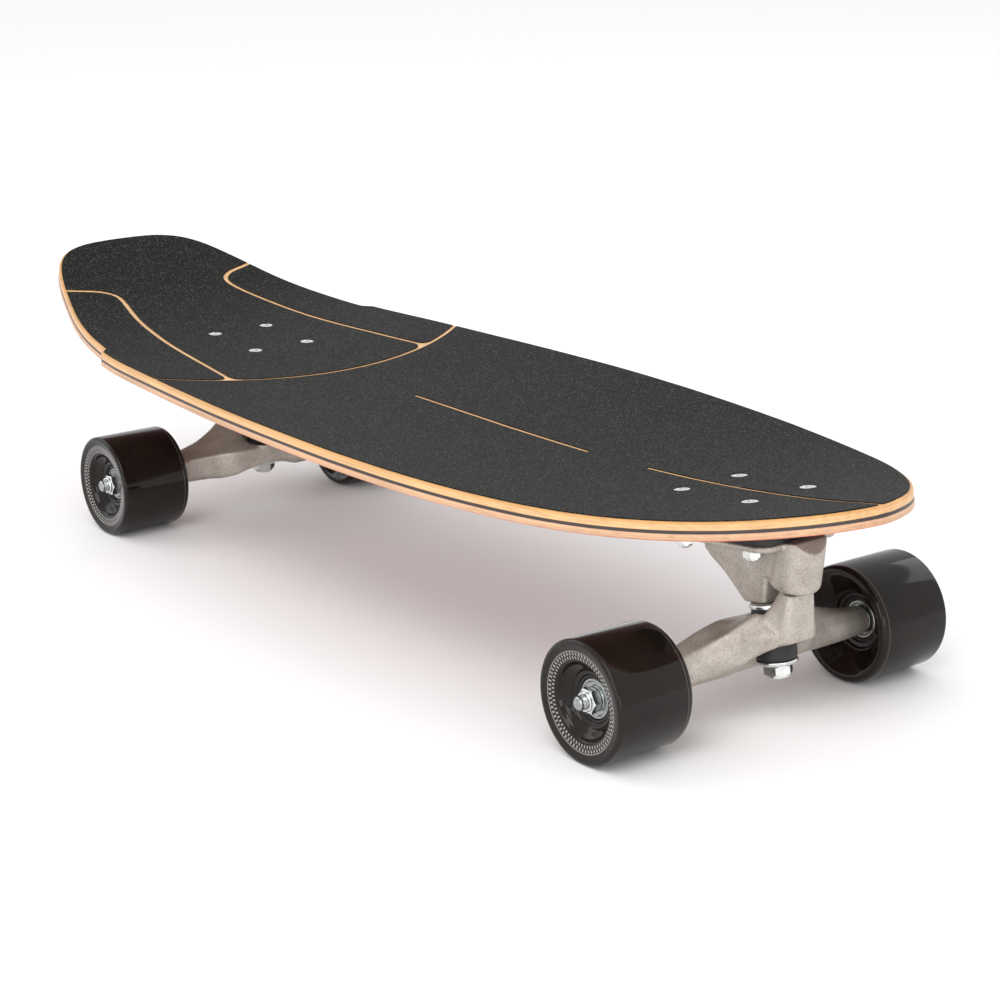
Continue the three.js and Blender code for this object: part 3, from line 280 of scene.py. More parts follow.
def inset_outline(inset):
    padded = np.vstack([OUTLINE[1] * MIRROR, OUTLINE, OUTLINE[-2] * MIRROR])
    way = unit(padded[2:] - padded[:-2])
    line = OUTLINE + inset * np.stack([way[:, 1], -way[:, 0]], -1)
    line[[0, -1], 1] = 0
    return line


# Meshes as (points, faces) pairs
def band(a, b, closed=True):
    """The faces between two rows of corners. A row of one corner is a tip."""
    count = max(len(a), len(b))
    faces = []
    for i in range(count if closed else count - 1):
        k = (i + 1) % count
        face = [a[i % len(a)], a[k % len(a)], b[k % len(b)], b[i % len(b)]]
        face = [v for n, v in enumerate(face) if v != face[n - 1]]
        if len(face) > 2:
            faces.append(face)
    return faces


def moved(piece, matrix):
    p = np.asarray(piece[0], float)
    return p @ matrix[:3, :3].T + matrix[:3, 3], piece[1]


def placed(point, matrix):
    return (matrix @ np.append(point, 1))[:3]


ROUND, ON_AXIS = 64, 1e-6


def on_circle(angle):
    return np.stack([np.cos(angle), np.sin(angle)], -1)


def lathe(profile, facets=ROUND):
    """A turned piece about Z from (radius, height) pairs, closed as a ring if they start off the axis."""
    ring = on_circle(2 * np.pi * np.arange(facets) / facets)
    points, rows = [], []
    for r, z in profile:
        if r < ON_AXIS:
            rows.append([len(points)])
            points.append((0, 0, z))
        else:
            rows.append(range(len(points), len(points) + facets))
            points += [(r * c, r * s, z) for c, s in ring]
    if profile[0][0] > ON_AXIS:
        rows.append(rows[0])
    return np.array(points, float), [face for a, b in zip(rows, rows[1:]) for face in band(a, b)]


def rod(radius, low, high, facets=ROUND):
    return lathe([(0, low), (radius, low), (radius, high), (0, high)], facets)


def loft(rings):
    """A closed body through rings that all have the same number of points."""
    rings = np.asarray(rings, float)
    rows = np.arange(rings[..., 0].size).reshape(rings.shape[:2]).tolist()
    faces = [face for a, b in zip(rows, rows[1:]) for face in band(a, b)]
    return rings.reshape(-1, 3), faces + [rows[0][::-1], rows[-1]]


def prism(plan, low, high):
    plan = np.asarray(plan, float)
    return loft([np.column_stack([plan, np.full(len(plan), z)]) for z in (low, high)])


def rounded_rect(length, width, corner, steps=8):
    x, y = length / 2 - corner, width / 2 - corner
    plan = []
    for sx, sy, start in ((1, 1, 0), (-1, 1, 90), (-1, -1, 180), (1, -1, 270)):
        for t in np.radians(np.linspace(start, start + 90, steps + 1)):
            plan.append((sx * x + corner * math.cos(t), sy * y + corner * math.sin(t)))
    return np.array(plan)


BEVEL_SHARE = 0.3


def plate(plan, low, high, bevel):
    """An upright plate whose upper and lower edges are rounded by bevel."""
    middle = plan.mean(0)
    reach = np.abs(plan - middle).max(0)
    corner = [(1, 0), (BEVEL_SHARE, BEVEL_SHARE), (0, 1)]
    levels = [(inset, low + up * bevel) for inset, up in corner]
    levels += [(inset, high - down * bevel) for inset, down in corner[::-1]]
    rings = []
    for inset, z in levels:
        shrunk = middle + (plan - middle) * (1 - inset * bevel / reach)
        rings.append(np.column_stack([shrunk, np.full(len(plan), z)]))
    return loft(rings)


# Places
def turn_y(degrees):
    c, s = math.cos(math.radians(degrees)), math.sin(math.radians(degrees))
    m = np.eye(4)
    m[0, 0], m[0, 2], m[2, 0], m[2, 2] = c, s, -s, c
    return m


def shift_by(x, y, z):
    m = np.eye(4)
    m[:3, 3] = (x, y, z)
    return m


def tilted(origin, degrees):
    return shift_by(*origin) @ turn_y(degrees)


def lying(side=1):
    """Turns a piece's Z to Y, or away from it for a side of -1."""
    return np.array([[1, 0, 0, 0], [0, 0, side, 0], [0, -side, 0, 0], [0, 0, 0, 1.0]])


def truck_frame(truck):
    """The truck's own frame under the deck, with X outwards along the board and Z up, square to the deck."""
    n = deck_normal(truck.x, 0.0)
    turn = np.diag([truck.outward, truck.outward, 1.0, 1.0])
    origin = deck_point(truck.x, 0.0, DECK_DEPTH)
    return shift_by(*origin) @ turn_y(math.degrees(math.atan2(n[0], n[2]))) @ turn


def set_places(truck):
    """Adds the truck's places: the axle, the ring, the pivot and the stack along the kingpin."""
    m = truck.frame = truck_frame(truck)
    ground = m[:3, :3].T @ np.array([0, 0, 1.0])
    drop = (AXLE_HEIGHT - m[2, 3] - truck.axle_out * ground[0]) / ground[2]
    axle = np.array([truck.axle_out, 0, drop])
    ring = axle + (truck.ring[0], 0, truck.ring[1])
    pivot = ring + (truck.pivot[0], 0, truck.pivot[1])
    rim = truck.ring_thick / 2
    seat = rim - SEAT_DEPTH
    s = SimpleNamespace(rim=rim, seat=seat, upper_low=seat + FIT, upper_high=seat + FIT + UPPER_BUSHING)
    s.lobe = s.upper_high + 2 * FIT + WASHER + WASHER_LIP
    s.lower_high = -seat - FIT
    s.lower_low = s.lower_high - truck.lower_bushing
    s.washer_low = s.lower_low - FIT - WASHER
    s.nut_high = s.washer_low - FIT
    s.nut_low = s.nut_high - KINGPIN_NUT_HEIGHT
    s.top = (FLANGE_TOP - 1 - ring[2]) / math.cos(math.radians(truck.lean))
    truck.axle, truck.ring_at, truck.pivot_at, truck.stack = axle, ring, pivot, s
    truck.on_kingpin = m @ tilted(ring, truck.lean)
    truck.on_barrel = m @ tilted(pivot, truck.barrel)
    truck.axle_at = placed(axle, m)


for truck in TRUCKS:
    set_places(truck)
box_low, box_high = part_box("front_axle")
SHIFT = np.array((box_low + box_high) / 2) / MM - FRONT.axle_at


# Materials, with linear colours and with scales in features per metre
class Look:
    """A material and short ways to build what its shader shows."""

    def __init__(self, name):
        self.material = bpy.data.materials.new(name)
        self.material.use_nodes = True
        self.nodes = self.material.node_tree.nodes
        self.links = self.material.node_tree.links
        self.shader = self.nodes["Principled BSDF"]

    def add(self, kind, **values):
        """Adds a node. A value goes to the input of its name, or else to the node itself."""
        node = self.nodes.new("ShaderNode" + kind)
        for key, value in values.items():
            name = key.replace("_", " ")
            if name in node.inputs.keys():
                self.feed(node.inputs[name], value)
            else:
                setattr(node, key, value)
        return node

    def feed(self, socket, value):
        """Links a value that is a socket, and sets a number, a vector or a colour."""
        if isinstance(value, bpy.types.NodeSocket):
            self.links.new(value, socket)
        elif isinstance(value, tuple) and socket.type == "RGBA":
            socket.default_value = (*value, 1)
        else:
            socket.default_value = value

    def set(self, **values):
        for key, value in values.items():
            self.feed(self.shader.inputs[key.replace("_", " ")], value)

    def place(self):
        return self.add("TexCoord").outputs["Object"]

    def attribute(self, name, output="Fac"):
        return self.add("Attribute", attribute_name=name).outputs[output]

    def noise(self, scale, detail=4.0, rough=0.55, squeeze=(1, 1, 1)):
        """Noise over the piece's own coordinates, finer for a larger scale."""
        at = self.add("Mapping", Vector=self.place(), Scale=squeeze).outputs[0]
        return self.add("TexNoise", Vector=at, Scale=scale, Detail=detail, Roughness=rough).outputs["Fac"]

    def ramp(self, factor, stops):
        node = self.add("ValToRGB", Fac=factor)
        elements = node.color_ramp.elements
        while len(elements) < len(stops):
            elements.new(0.5)
        for element, (place, colour) in zip(elements, stops):
            element.position = place
            element.color = (*(colour if isinstance(colour, tuple) else (colour,) * 3), 1)
        return node.outputs["Color"]

    def blend(self, factor, a, b):
        return self.ramp(factor, [(0.3, a), (0.7, b)])

    def mix(self, factor, a, b, blend="MIX"):
        node = self.add("Mix", data_type="RGBA", blend_type=blend)
        for socket, value in ((node.inputs[0], factor), (node.inputs[6], a), (node.inputs[7], b)):
            self.feed(socket, value)
        return node.outputs[2]

    def times(self, a, b):
        return self.mix(1.0, a, b, "MULTIPLY")

    def maths(self, operation, a, b):
        node = self.add("Math", operation=operation)
        self.feed(node.inputs[0], a)
        self.feed(node.inputs[1], b)
        return node.outputs[0]

    def product(self, a, b):
        return self.maths("MULTIPLY", a, b)

    def bump(self, height, strength, distance, **base):
        normal = self.add("Bump", Strength=strength, Distance=distance, Height=height, **base).outputs[0]
        self.set(Normal=normal)
        return normal


GRIP_DARK, GRIP_PALE, GLINT = (0.002, 0.0019, 0.0018), (0.006, 0.0057, 0.0053), (0.15, 0.145, 0.136)
GRIP_GRAIN, GRIP_BLOTCH, GRIP_ROUGHNESS, GLINTS = 1500, 55, 1300, 1000
WOOD_GRAIN, WOOD_CLOUD, WOOD_SHADE, WOOD_PALE = 260, 22, (0.86, 0.83, 0.79), (0.97, 0.97, 0.98)
CAST_DARK, CAST_MIDDLE, CAST_PALE = (0.375, 0.332, 0.29), (0.475, 0.43, 0.385), (0.56, 0.52, 0.48)
CAST_CLOUD, CAST_GRAIN, CAST_PATCH, CAST_WAVE = 90, 1100, 240, 120
WHEEL_DARK, WHEEL_PALE = (0.0075, 0.0056, 0.0044), (0.012, 0.0092, 0.0072)
# INK is the wheel's print; the second colour is a painted highlight on the edge between tread and inner lip
INK, EDGE_HIGHLIGHT = (0.33, 0.32, 0.31), (0.19, 0.15, 0.12)
WHEEL_CLOUD, WHEEL_WAVE, STROKES = 40, 30, 66.0
OUTER_STROKES, INNER_STROKES, PRINTED_RING = (25.0, 26.7), (22.9, 24.5), (27.1, 27.5)
# Where the painted edge highlight lies: beyond this radius, within this span across the wheel
EDGE_HIGHLIGHT_RADIUS, EDGE_HIGHLIGHT_SPAN = 33.0, (4.0, 4.35)
CREAM = (0.74, 0.435, 0.205)
UPPER_STOPS = [
    (0, (0.6, 0.32, 0.11)), (0.3, (0.68, 0.37, 0.135)), (0.42, CREAM), (0.52, (0.77, 0.475, 0.235)),
    (0.6, (0.66, 0.37, 0.15)), (0.66, CREAM), (0.87, (0.76, 0.47, 0.235)), (0.94, (0.72, 0.42, 0.18)),
    (1, (0.5, 0.22, 0.08)),
]
DARK_STOPS = [(0, (0.04, 0.028, 0.026)), (1, (0.03, 0.022, 0.022))]
LOWER_STOPS = [
    (0, (0.56, 0.33, 0.19)), (0.15, (0.68, 0.41, 0.25)), (0.45, (0.64, 0.38, 0.22)),
    (0.52, (0.52, 0.31, 0.18)), (0.6, (0.64, 0.39, 0.235)), (0.84, (0.61, 0.35, 0.20)),
    (0.9, (0.72, 0.3, 0.17)), (0.94, (0.75, 0.1, 0.06)), (1, (0.6, 0.06, 0.035)),
]
UPPER_PLAIN, DARK_PLAIN, UNDERSIDE = (0.72, 0.42, 0.19), (0.03, 0.022, 0.02), (0.2, 0.048, 0.03)


def grip_material():
    look = Look("grip_tape")
    base = look.blend(look.noise(GRIP_GRAIN, 2.0), GRIP_DARK, GRIP_PALE)
    base = look.times(base, look.blend(look.noise(GRIP_BLOTCH, 3.0), 0.86, 1.1))
    cells = look.add("TexVoronoi", Vector=look.place(), Scale=GLINTS)
    pick = look.add("SeparateColor", Color=cells.outputs["Color"]).outputs[0]
    chosen = look.ramp(pick, [(0.5, 0.0), (0.75, 0.28), (0.95, 0.62), (1.0, 0.9)])
    near = look.ramp(cells.outputs["Distance"], [(0.3, 1.0), (0.5, 0.0)])
    base = look.mix(look.times(chosen, near), base, GLINT)
    look.set(Base_Color=base, Roughness=0.55, Specular_IOR_Level=0.08)
    look.bump(look.noise(GRIP_ROUGHNESS, 3.0), 0.55, 0.0004)
    return look.material


def wood_material(name, stops, low, high, plain):
    """Wood whose colour at the deck's edge follows the depth under the deck's top, in millimetres."""
    look = Look(name)
    share = look.add("MapRange", Value=look.attribute("depth"), From_Min=low, From_Max=high).outputs[0]
    colour = look.mix(look.attribute("edge"), plain, look.ramp(share, stops))
    grain = look.noise(WOOD_GRAIN, 6.0, 0.6, (0.05, 1, 2.2))
    colour = look.times(colour, look.ramp(grain, [(0.3, 0.78), (0.5, 1.0), (0.72, 1.13)]))
    cloud = look.noise(WOOD_CLOUD, 3.0, squeeze=(0.5, 1, 1))
    colour = look.times(colour, look.blend(cloud, WOOD_SHADE, WOOD_PALE))
    look.set(Base_Color=colour, Roughness=0.45, Coat_Weight=0.1, Coat_Roughness=0.2)
    look.bump(grain, 0.12, 0.0002)
    return look.material


def cast_material():
    look = Look("cast_aluminium")
    stops = [(0.25, CAST_DARK), (0.55, CAST_MIDDLE), (0.8, CAST_PALE)]
    base = look.ramp(look.noise(CAST_CLOUD, 5.0, 0.6), stops)
    fine = look.noise(CAST_GRAIN, 3.0)
    base = look.times(base, look.ramp(fine, [(0.34, 0.78), (0.5, 0.98), (0.66, 1.12)]))
    rough = look.blend(look.noise(CAST_PATCH), 0.52, 0.4)
    look.set(Base_Color=base, Roughness=rough, Metallic=0.5)
    first = look.bump(fine, 0.22, 0.00025)
    look.bump(look.noise(CAST_WAVE), 0.25, 0.0006, Normal=first)
    return look.material


def plain_material(name, low, high, clouds, rough, rougher, grain, strength, distance, metallic):
    look = Look(name)
    cloud = look.noise(clouds, 3.0)
    base = look.blend(cloud, low, high)
    look.set(Base_Color=base, Roughness=look.blend(cloud, rougher, rough), Metallic=metallic)
    look.bump(look.noise(grain, 2.0), strength, distance)
    return look.material


def wheel_material():
    """Dark urethane, with a plain printed ring of short strokes on the outer face and a painted highlight line
    on the tread's inner edge.
    """
    look = Look("urethane")
    radius, turn, out = look.add("SeparateXYZ", Vector=look.attribute("local", "Vector")).outputs

    def between(value, span):
        return look.product(look.maths("GREATER_THAN", value, span[0]), look.maths("LESS_THAN", value, span[1]))

    base = look.blend(look.noise(WHEEL_CLOUD, 3.0), WHEEL_DARK, WHEEL_PALE)
    stroke = look.maths("PINGPONG", look.product(turn, STROKES), 0.5)
    outer_row = look.product(look.maths("LESS_THAN", stroke, 0.22), between(radius, OUTER_STROKES))
    inner_row = look.product(look.maths("GREATER_THAN", stroke, 0.3), between(radius, INNER_STROKES))
    rows = look.maths("ADD", look.maths("ADD", outer_row, inner_row), between(radius, PRINTED_RING))
    ink = look.product(rows, look.maths("GREATER_THAN", out, WHEEL_WIDTH / 2))
    base = look.mix(look.product(ink, 0.8), base, INK)
    # A thin pale ring near the tread's inner edge is a painted highlight, standing for light caught on the edge
    # between tread and lip
    painted_highlight = look.product(look.maths("GREATER_THAN", radius, EDGE_HIGHLIGHT_RADIUS), between(out, EDGE_HIGHLIGHT_SPAN))
    base = look.mix(look.product(painted_highlight, 0.6), base, EDGE_HIGHLIGHT)
    look.set(Base_Color=base, Roughness=0.08, Specular_IOR_Level=0.25)
    look.bump(look.noise(WHEEL_WAVE, 2.0), 0.04, 0.0006)
    return look.material


looks = {
    "grip": grip_material(),
    "upper_maple": wood_material("upper_plies", UPPER_STOPS, UPPER_DEPTH, DARK_DEPTH, UPPER_PLAIN),
    "dark_ply": wood_material("dark_ply", DARK_STOPS, DARK_DEPTH, LOWER_DEPTH, DARK_PLAIN),
    "lower_maple": wood_material("lower_plies", LOWER_STOPS, LOWER_DEPTH, DECK_DEPTH, UNDERSIDE),
    "cast_aluminium": cast_material(),
    "urethane": wheel_material(),
}
for name, *values in (
    ("zinc", (0.6, 0.62, 0.60), (0.74, 0.76, 0.75), 500, 0.2, 0.27, 1200, 0.06, 0.0001, 1.0),
    ("bearing_steel", (0.30, 0.32, 0.31), (0.42, 0.44, 0.43), 500, 0.26, 0.33, 1200, 0.06, 0.0001, 1.0),
    ("rubber", (0.008, 0.008, 0.009), (0.015, 0.015, 0.016), 112.5, 0.5, 0.56, 900, 0.2, 0.0002, 0.0),
    ("nylon", (0.006, 0.006, 0.007), (0.011, 0.011, 0.012), 87.5, 0.45, 0.51, 700, 0.1, 0.0002, 0.0),
):
    looks[name] = plain_material(name, *values)
body_of = {n: b for b, names in record["behaviour"]["bodies"].items() for n in names}
slot_of = {s["node"]: s["material_slot"] for s in record["subparts"]}


# Objects
def new_object(name, data):
    obj = bpy.data.objects.new(name, data)
    bpy.context.scene.collection.objects.link(obj)
    return obj


def to_mesh(name, piece, matrix=np.eye(4)):
    points, faces = moved(piece, matrix)
    mesh = bpy.data.meshes.new(name)
    mesh.from_pydata(((points + SHIFT) * MM).tolist(), [], faces)
    form = bmesh.new()
    form.from_mesh(mesh)
    bmesh.ops.recalc_face_normals(form, faces=form.faces)
    form.to_mesh(mesh)
    form.free()
    return new_object(name, mesh)


def settle(obj):
    """Applies the modifiers."""
    graph = bpy.context.evaluated_depsgraph_get()
    mesh = bpy.data.meshes.new_from_object(obj.evaluated_get(graph))
    obj.modifiers.clear()
    obj.data = mesh
    return obj


def combine(obj, operation, *others):
    """Joins, cuts or clips an object. The others are objects or pieces with their matrix."""
    others = [to_mesh("cut", *other) if isinstance(other, tuple) else other for other in others]
    for other in others:
        modifier = obj.modifiers.new("combine", "BOOLEAN")
        modifier.solver = "MANIFOLD"
        modifier.operation = operation
        modifier.object = other
    settle(obj)
    for other in others:
        bpy.data.objects.remove(other)
    return obj


SKIN_VOXEL, SKIN_KEEP = 0.7, 0.5


def cast(obj, rounds):
    """Gives a machined form the soft edges of a casting, softer for more rounds."""
    remesh = obj.modifiers.new("skin", "REMESH")
    remesh.mode = "VOXEL"
    remesh.voxel_size = SKIN_VOXEL * MM
    smooth = obj.modifiers.new("soften", "SMOOTH")
    smooth.factor = 0.5
    smooth.iterations = rounds
    thin = obj.modifiers.new("thin", "DECIMATE")
    thin.ratio = SKIN_KEEP
    return settle(obj)


def dress(obj, node, sharp=35):
    """Shades a piece smooth up to the angle sharp, gives it its node's material and its body, and hides the
    imported part of that node.
    """
    mesh = obj.data
    mesh.shade_smooth()
    mesh.set_sharp_from_angle(angle=math.radians(sharp))
    mesh.materials.clear()
    mesh.materials.append(looks[slot_of[node]])
    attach(obj, body_of[node])
    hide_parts(node)


def put(node, piece, matrix, sharp=35):
    dress(to_mesh(node + "_fine", piece, matrix), node, sharp)


# Deck
ACROSS, GRIP_ACROSS = 28, 56
DARK_INSET, DARK_OVERLAP, LOWER_OVERLAP = 0.08, 0.1, 0.05
UPPER_SHARES, LOWER_SHARE = (0.75, 1.02), 0.4


def deck_layer(name, levels, across=ACROSS):
    """A layer of the deck through levels, which are (depth, inset) pairs from its top to its bottom.

    Each point keeps its depth, and whether it lies at the edge.
    """
    points, faces, depths, edges = [], [], [], []

    def push(more, depth, edge):
        points.extend(more)
        depths.extend([depth] * len(more))
        edges.extend([edge] * len(more))
        return list(range(len(points) - len(more), len(points)))

    def rim(depth, inset):
        outline = inset_outline(inset)
        x, y = np.vstack([outline, outline[-2:0:-1] * MIRROR]).T
        return push(deck_point(x, y, depth), depth, 1.0)

    rims = [rim(*level) for level in levels]
    for a, b in zip(rims, rims[1:]):
        faces += band(a, b)
    for level in (0, -1):
        depth, inset = levels[level]
        outer = rims[level]
        rows = [[outer[0]]]
        for i, (x, y) in enumerate(inset_outline(inset)[1:-1], 1):
            ys = y * (1 - 2 * np.arange(1, across) / across)
            rows.append([outer[i]] + push(deck_point(x, ys, depth), depth, 0.0) + [outer[-i]])
        rows.append([outer[len(rows)]])
        for a, b in zip(rows, rows[1:]):
            faces += band(a, b, closed=False)
    obj = to_mesh(name, (points, faces))
    for key, values in (("depth", depths), ("edge", edges)):
        obj.data.attributes.new(key, "FLOAT", "POINT").data.foreach_set("value", values)
    return obj


def round_levels(depth, radius, steps):
    turn = np.linspace(0, np.pi / 2, steps + 1)
    return [(depth + radius * (1 - math.cos(t)), radius * (1 - math.sin(t))) for t in turn]


upper_levels = round_levels(UPPER_DEPTH, TOP_ROUND, 5)
upper_levels += [(UPPER_DEPTH + UPPER_PLIES * share, 0) for share in UPPER_SHARES]
dark_levels = [(DARK_DEPTH - DARK_OVERLAP, DARK_INSET), (LOWER_DEPTH, DARK_INSET)]
lower_levels = [(LOWER_DEPTH - LOWER_OVERLAP, 0), (LOWER_DEPTH + LOWER_PLIES * LOWER_SHARE, 0)]
lower_levels += [(DECK_DEPTH - up, inset) for up, inset in round_levels(0, BOTTOM_ROUND, 3)[::-1]]
for name, plies, levels in (("upper", "plies", upper_levels), ("dark", "ply", dark_levels),
                            ("lower", "plies", lower_levels)):
    dress(deck_layer(f"deck_{name}_fine", levels), f"deck_{name}_{plies}", 50)

# Grip panels
WIDE, BEYOND = DECK_WIDTH / 2 + 2, 2
SEAM_STEP, SEAM_CORNER, SIDE_REACH = 2.5, 7.0, 14
CUT_BELOW, CUT_ABOVE = 30, TAIL_RISE + 40
HOLE_ROOM, HOLE_BELOW, HOLE_ABOVE = 0.25, 4, 3
ARC_CENTRE = TAIL_X + ARC_FROM_TAIL - ARC_RADIUS
GRIP_LEVELS = [(0, GRIP_INSET + 0.1), (0.12, GRIP_INSET), (GRIP_DEPTH, GRIP_INSET)]


def arc(offset):
    y = np.linspace(-WIDE, WIDE, 61)
    return np.column_stack([ARC_CENTRE + np.sqrt((ARC_RADIUS + offset) ** 2 - y**2), y])


def seam(offset):
    """The seam, moved sideways by offset and ended where it meets the arc."""
    points = along_points(on_plan(SEAM), SEAM_STEP)
    way = unit(np.gradient(points, axis=0))
    line = points + offset * np.stack([-way[:, 1], way[:, 0]], -1)
    over = np.hypot(line[:, 0] - ARC_CENTRE, line[:, 1]) - (ARC_RADIUS - GRIP_GAP / 2)
    k = int(np.argmax(over > 0))
    t = over[k - 1] / (over[k - 1] - over[k])
    return np.vstack([line[:k], line[k - 1] + t * (line[k] - line[k - 1])])


def round_corner(plan, corner):
    """Rounds one corner of a plan, swallowing the points that lie near it."""
    plan = np.asarray(plan, float)
    away = np.linalg.norm(plan - corner, axis=1)
    k = int(np.argmin(away))
    n = len(plan)
    before, after = k, k
    while away[before % n] < SEAM_CORNER:
        before -= 1
    while away[after % n] < SEAM_CORNER:
        after += 1
    a, b = plan[before % n], plan[after % n]
    t = np.linspace(0, 1, 9)[1:-1, None]
    curve = (1 - t) ** 2 * a + 2 * t * (1 - t) * plan[k] + t**2 * b
    kept = [plan[i % n] for i in range(after, before + n + 1)]
    return np.vstack([kept, curve])


def plan_solid(plan):
    return prism(plan, LOWEST - CUT_BELOW, LOWEST + CUT_ABOVE), np.eye(4)


def grip_panel(node, plan, slots=()):
    sheet = deck_layer(node + "_fine", GRIP_LEVELS, GRIP_ACROSS)
    combine(sheet, "INTERSECT", plan_solid(plan))
    holes = [plan_solid(slot) for slot in slots]
    for truck in TRUCKS:
        for x, y, top in truck.screws.values():
            hole = rod(HEAD_RADIUS + HOLE_ROOM, top - HOLE_BELOW, top + HOLE_ABOVE, 32)
            holes.append((hole, truck.frame @ shift_by(x, y, 0)))
    combine(sheet, "DIFFERENCE", *holes)
    dress(sheet, node, 40)


for truck in TRUCKS:
    truck.screws = {}
    for out_name, sx in (("outer", 1), ("inner", -1)):
        for side_name, sy in (("left", 1), ("right", -1)):
            x, y = sx * PATTERN_LENGTH / 2, sy * PATTERN_WIDTH / 2
            at = placed((x, y, 0), truck.frame)
            top = placed(deck_point(at[0], at[1], 0.0), np.linalg.inv(truck.frame))
            truck.screws[f"{out_name}_{side_name}"] = (x, y, top[2] - HEAD_SINK)

front_plan = np.vstack([arc(GRIP_GAP / 2), [[BEYOND - TAIL_X, WIDE], [BEYOND - TAIL_X, -WIDE]]])
half = STRINGER_WIDTH / 2
slots = []
for start, end in STRINGERS:
    start, end = TAIL_X + start, TAIL_X + end
    slots.append([(start, -half), (end, -half), (end, half), (start, half)])
grip_panel("grip_front", front_plan, slots)

inner_seam, outer_seam = seam(-GRIP_GAP / 2), seam(GRIP_GAP / 2)
arc_line = arc(-GRIP_GAP / 2)
middle_arc = arc_line[np.abs(arc_line[:, 1]) < inner_seam[-1, 1] - 1]
tail_end = [[TAIL_X - BEYOND, -WIDE], [TAIL_X - BEYOND, WIDE]]
centre = np.vstack([inner_seam, middle_arc[::-1], inner_seam[::-1] * MIRROR, tail_end])
centre = round_corner(centre, inner_seam[-1])
centre = round_corner(centre, inner_seam[-1] * MIRROR)
grip_panel("grip_tail_centre", centre)
side_arc = arc_line[arc_line[:, 1] > outer_seam[-1, 1] + 1]
side_plan = np.vstack([outer_seam, side_arc, [[outer_seam[0, 0] - SIDE_REACH, WIDE]]])
side_plan = round_corner(side_plan, outer_seam[-1])
grip_panel("grip_tail_left", side_plan)
grip_panel("grip_tail_right", side_plan * MIRROR)

# Fasteners
FLIP = np.diag([1.0, -1.0, -1.0, 1.0])
SCREW_COLLAR, NUT_COLLAR, THREAD_GAP = 1.3, 1.6, 0.3
CROSS_TURN, CROSS_TOP, CROSS_LOW = 20, (0.5, 2.9, 0.62), (-1.9, 1.1, 0.42)


def thread(radius, low, high, pitch=0.8, depth=0.32):
    """Half of a threaded rod's outline, from low to high."""
    profile = []
    z = low
    while z + pitch <= high:
        profile += [(radius - depth, z), (radius, z + pitch * 0.5)]
        z += pitch
    return profile + [(radius - depth, z), (radius - depth, high)]


def hex_nut(name, flats, low, high, bore, matrix, collar=NUT_COLLAR):
    """A nut with both ends chamfered and a round collar above it."""
    hexagon = flats / math.sqrt(3) * on_circle(np.pi / 3 * np.arange(6))
    body = to_mesh(name, prism(hexagon, low, high), matrix)
    edge, cut = flats / 2, flats / math.sqrt(3) - flats / 2
    drop = cut * 0.75
    a, b, far = low - 0.01, high + 0.01, edge + cut
    profile = [(0, a), (edge - 0.2, a), (far, low + drop), (far, high - drop), (edge - 0.2, b), (0, b)]
    combine(body, "INTERSECT", (lathe(profile, 48), matrix))
    root, top, wide = high - 0.5, high + collar, edge - 0.7
    rim = [(bore, root), (wide, root), (wide, high + collar * 0.6), (edge - 1.2, top), (bore + 0.5, top),
           (bore, high + collar * 0.7)]
    combine(body, "UNION", (lathe(rim, 48), matrix))
    return combine(body, "DIFFERENCE", (rod(bore, low - 2, high + collar + 2, 32), matrix))


def cross_cutters(top):
    """The recess for a cross-point driver, as two pieces."""
    pieces = []
    for turn in (CROSS_TURN, 90 + CROSS_TURN):
        c, s = math.cos(math.radians(turn)), math.sin(math.radians(turn))
        rings = []
        for z, long, wide in (CROSS_TOP, CROSS_LOW):
            ring = [(long, wide), (-long, wide), (-long, -wide), (long, -wide)]
            rings.append([(c * u - s * v, s * u + c * v, top + z) for u, v in ring])
        pieces.append(loft(rings))
    return pieces


for truck in TRUCKS:
    for label, (x, y, top) in truck.screws.items():
        at = truck.frame @ shift_by(x, y, 0)
        node = f"{truck.name}_screw_{label}"
        low, r, wide = NUT_BOTTOM - SCREW_TIP, SCREW_RADIUS, HEAD_RADIUS
        profile = [(0, low), (r - 0.6, low), (r - 0.1, low + 0.5), *thread(r, low + 0.6, FLANGE_TOP)[1:]]
        profile += [(r - 0.1, top - HEAD_HEIGHT), (wide, top - 0.35), (wide - 0.1, top - 0.12),
                    (wide - 0.5, top), (0, top + 0.05)]
        screw = to_mesh(node + "_fine", lathe(profile, 32), at)
        combine(screw, "DIFFERENCE", *[(piece, at) for piece in cross_cutters(top)])
        nut = hex_nut("nut", NUT_FLATS, -(NUT_BOTTOM + NUT_HEIGHT), -(NUT_BOTTOM + SCREW_COLLAR),
                      r - THREAD_GAP, at @ FLIP, SCREW_COLLAR)
        combine(screw, "UNION", nut)
        dress(screw, node, 32)

# Trucks
footprint = rounded_rect(FLANGE_LENGTH, FLANGE_WIDTH, FLANGE_CORNER)
LOBE_LENGTH, LOBE_SHIFT = 16.5, 2.0
WEB_TOP_HALF, WEB_LOW_HALF, WEB_CORNER = 13.0, 11.0, 3.2
MOUTH_EDGE = [(10.2, 0), (12.2, 0.6), (13.3, 1.8), (BARREL_RADIUS, 3.4)]
CUT_LONG, CUT_WIDE, CUT_HIGH = 150, 100, 80
CUP_OUT, CUP_IN = BALL_RADIUS + CUP_WALL + FIT, BALL_RADIUS + CUP_GAP
ARM_RINGS, ARM_CORNER, ARM_TURN = 81, 1.6, 1.14
NECK_RINGS, NECK_GAP, FOOT_CORNER, WAIST_CORNER, TOP_CORNER = 13, 1.6, 6.0, 5.0, 3.6
STEM = [(0, MOUTH - 3.2), (4.6, MOUTH - 3.2), (4.6, -3.7), (5.0, -1.6), (BALL_RADIUS, 0), (4.8, 2), (3.7, 3.7),
        (2, 4.8), (0, BALL_RADIUS)]
STEER_ROOM, STEER_STEPS, SLANT = 0.8, 9, 0.7071
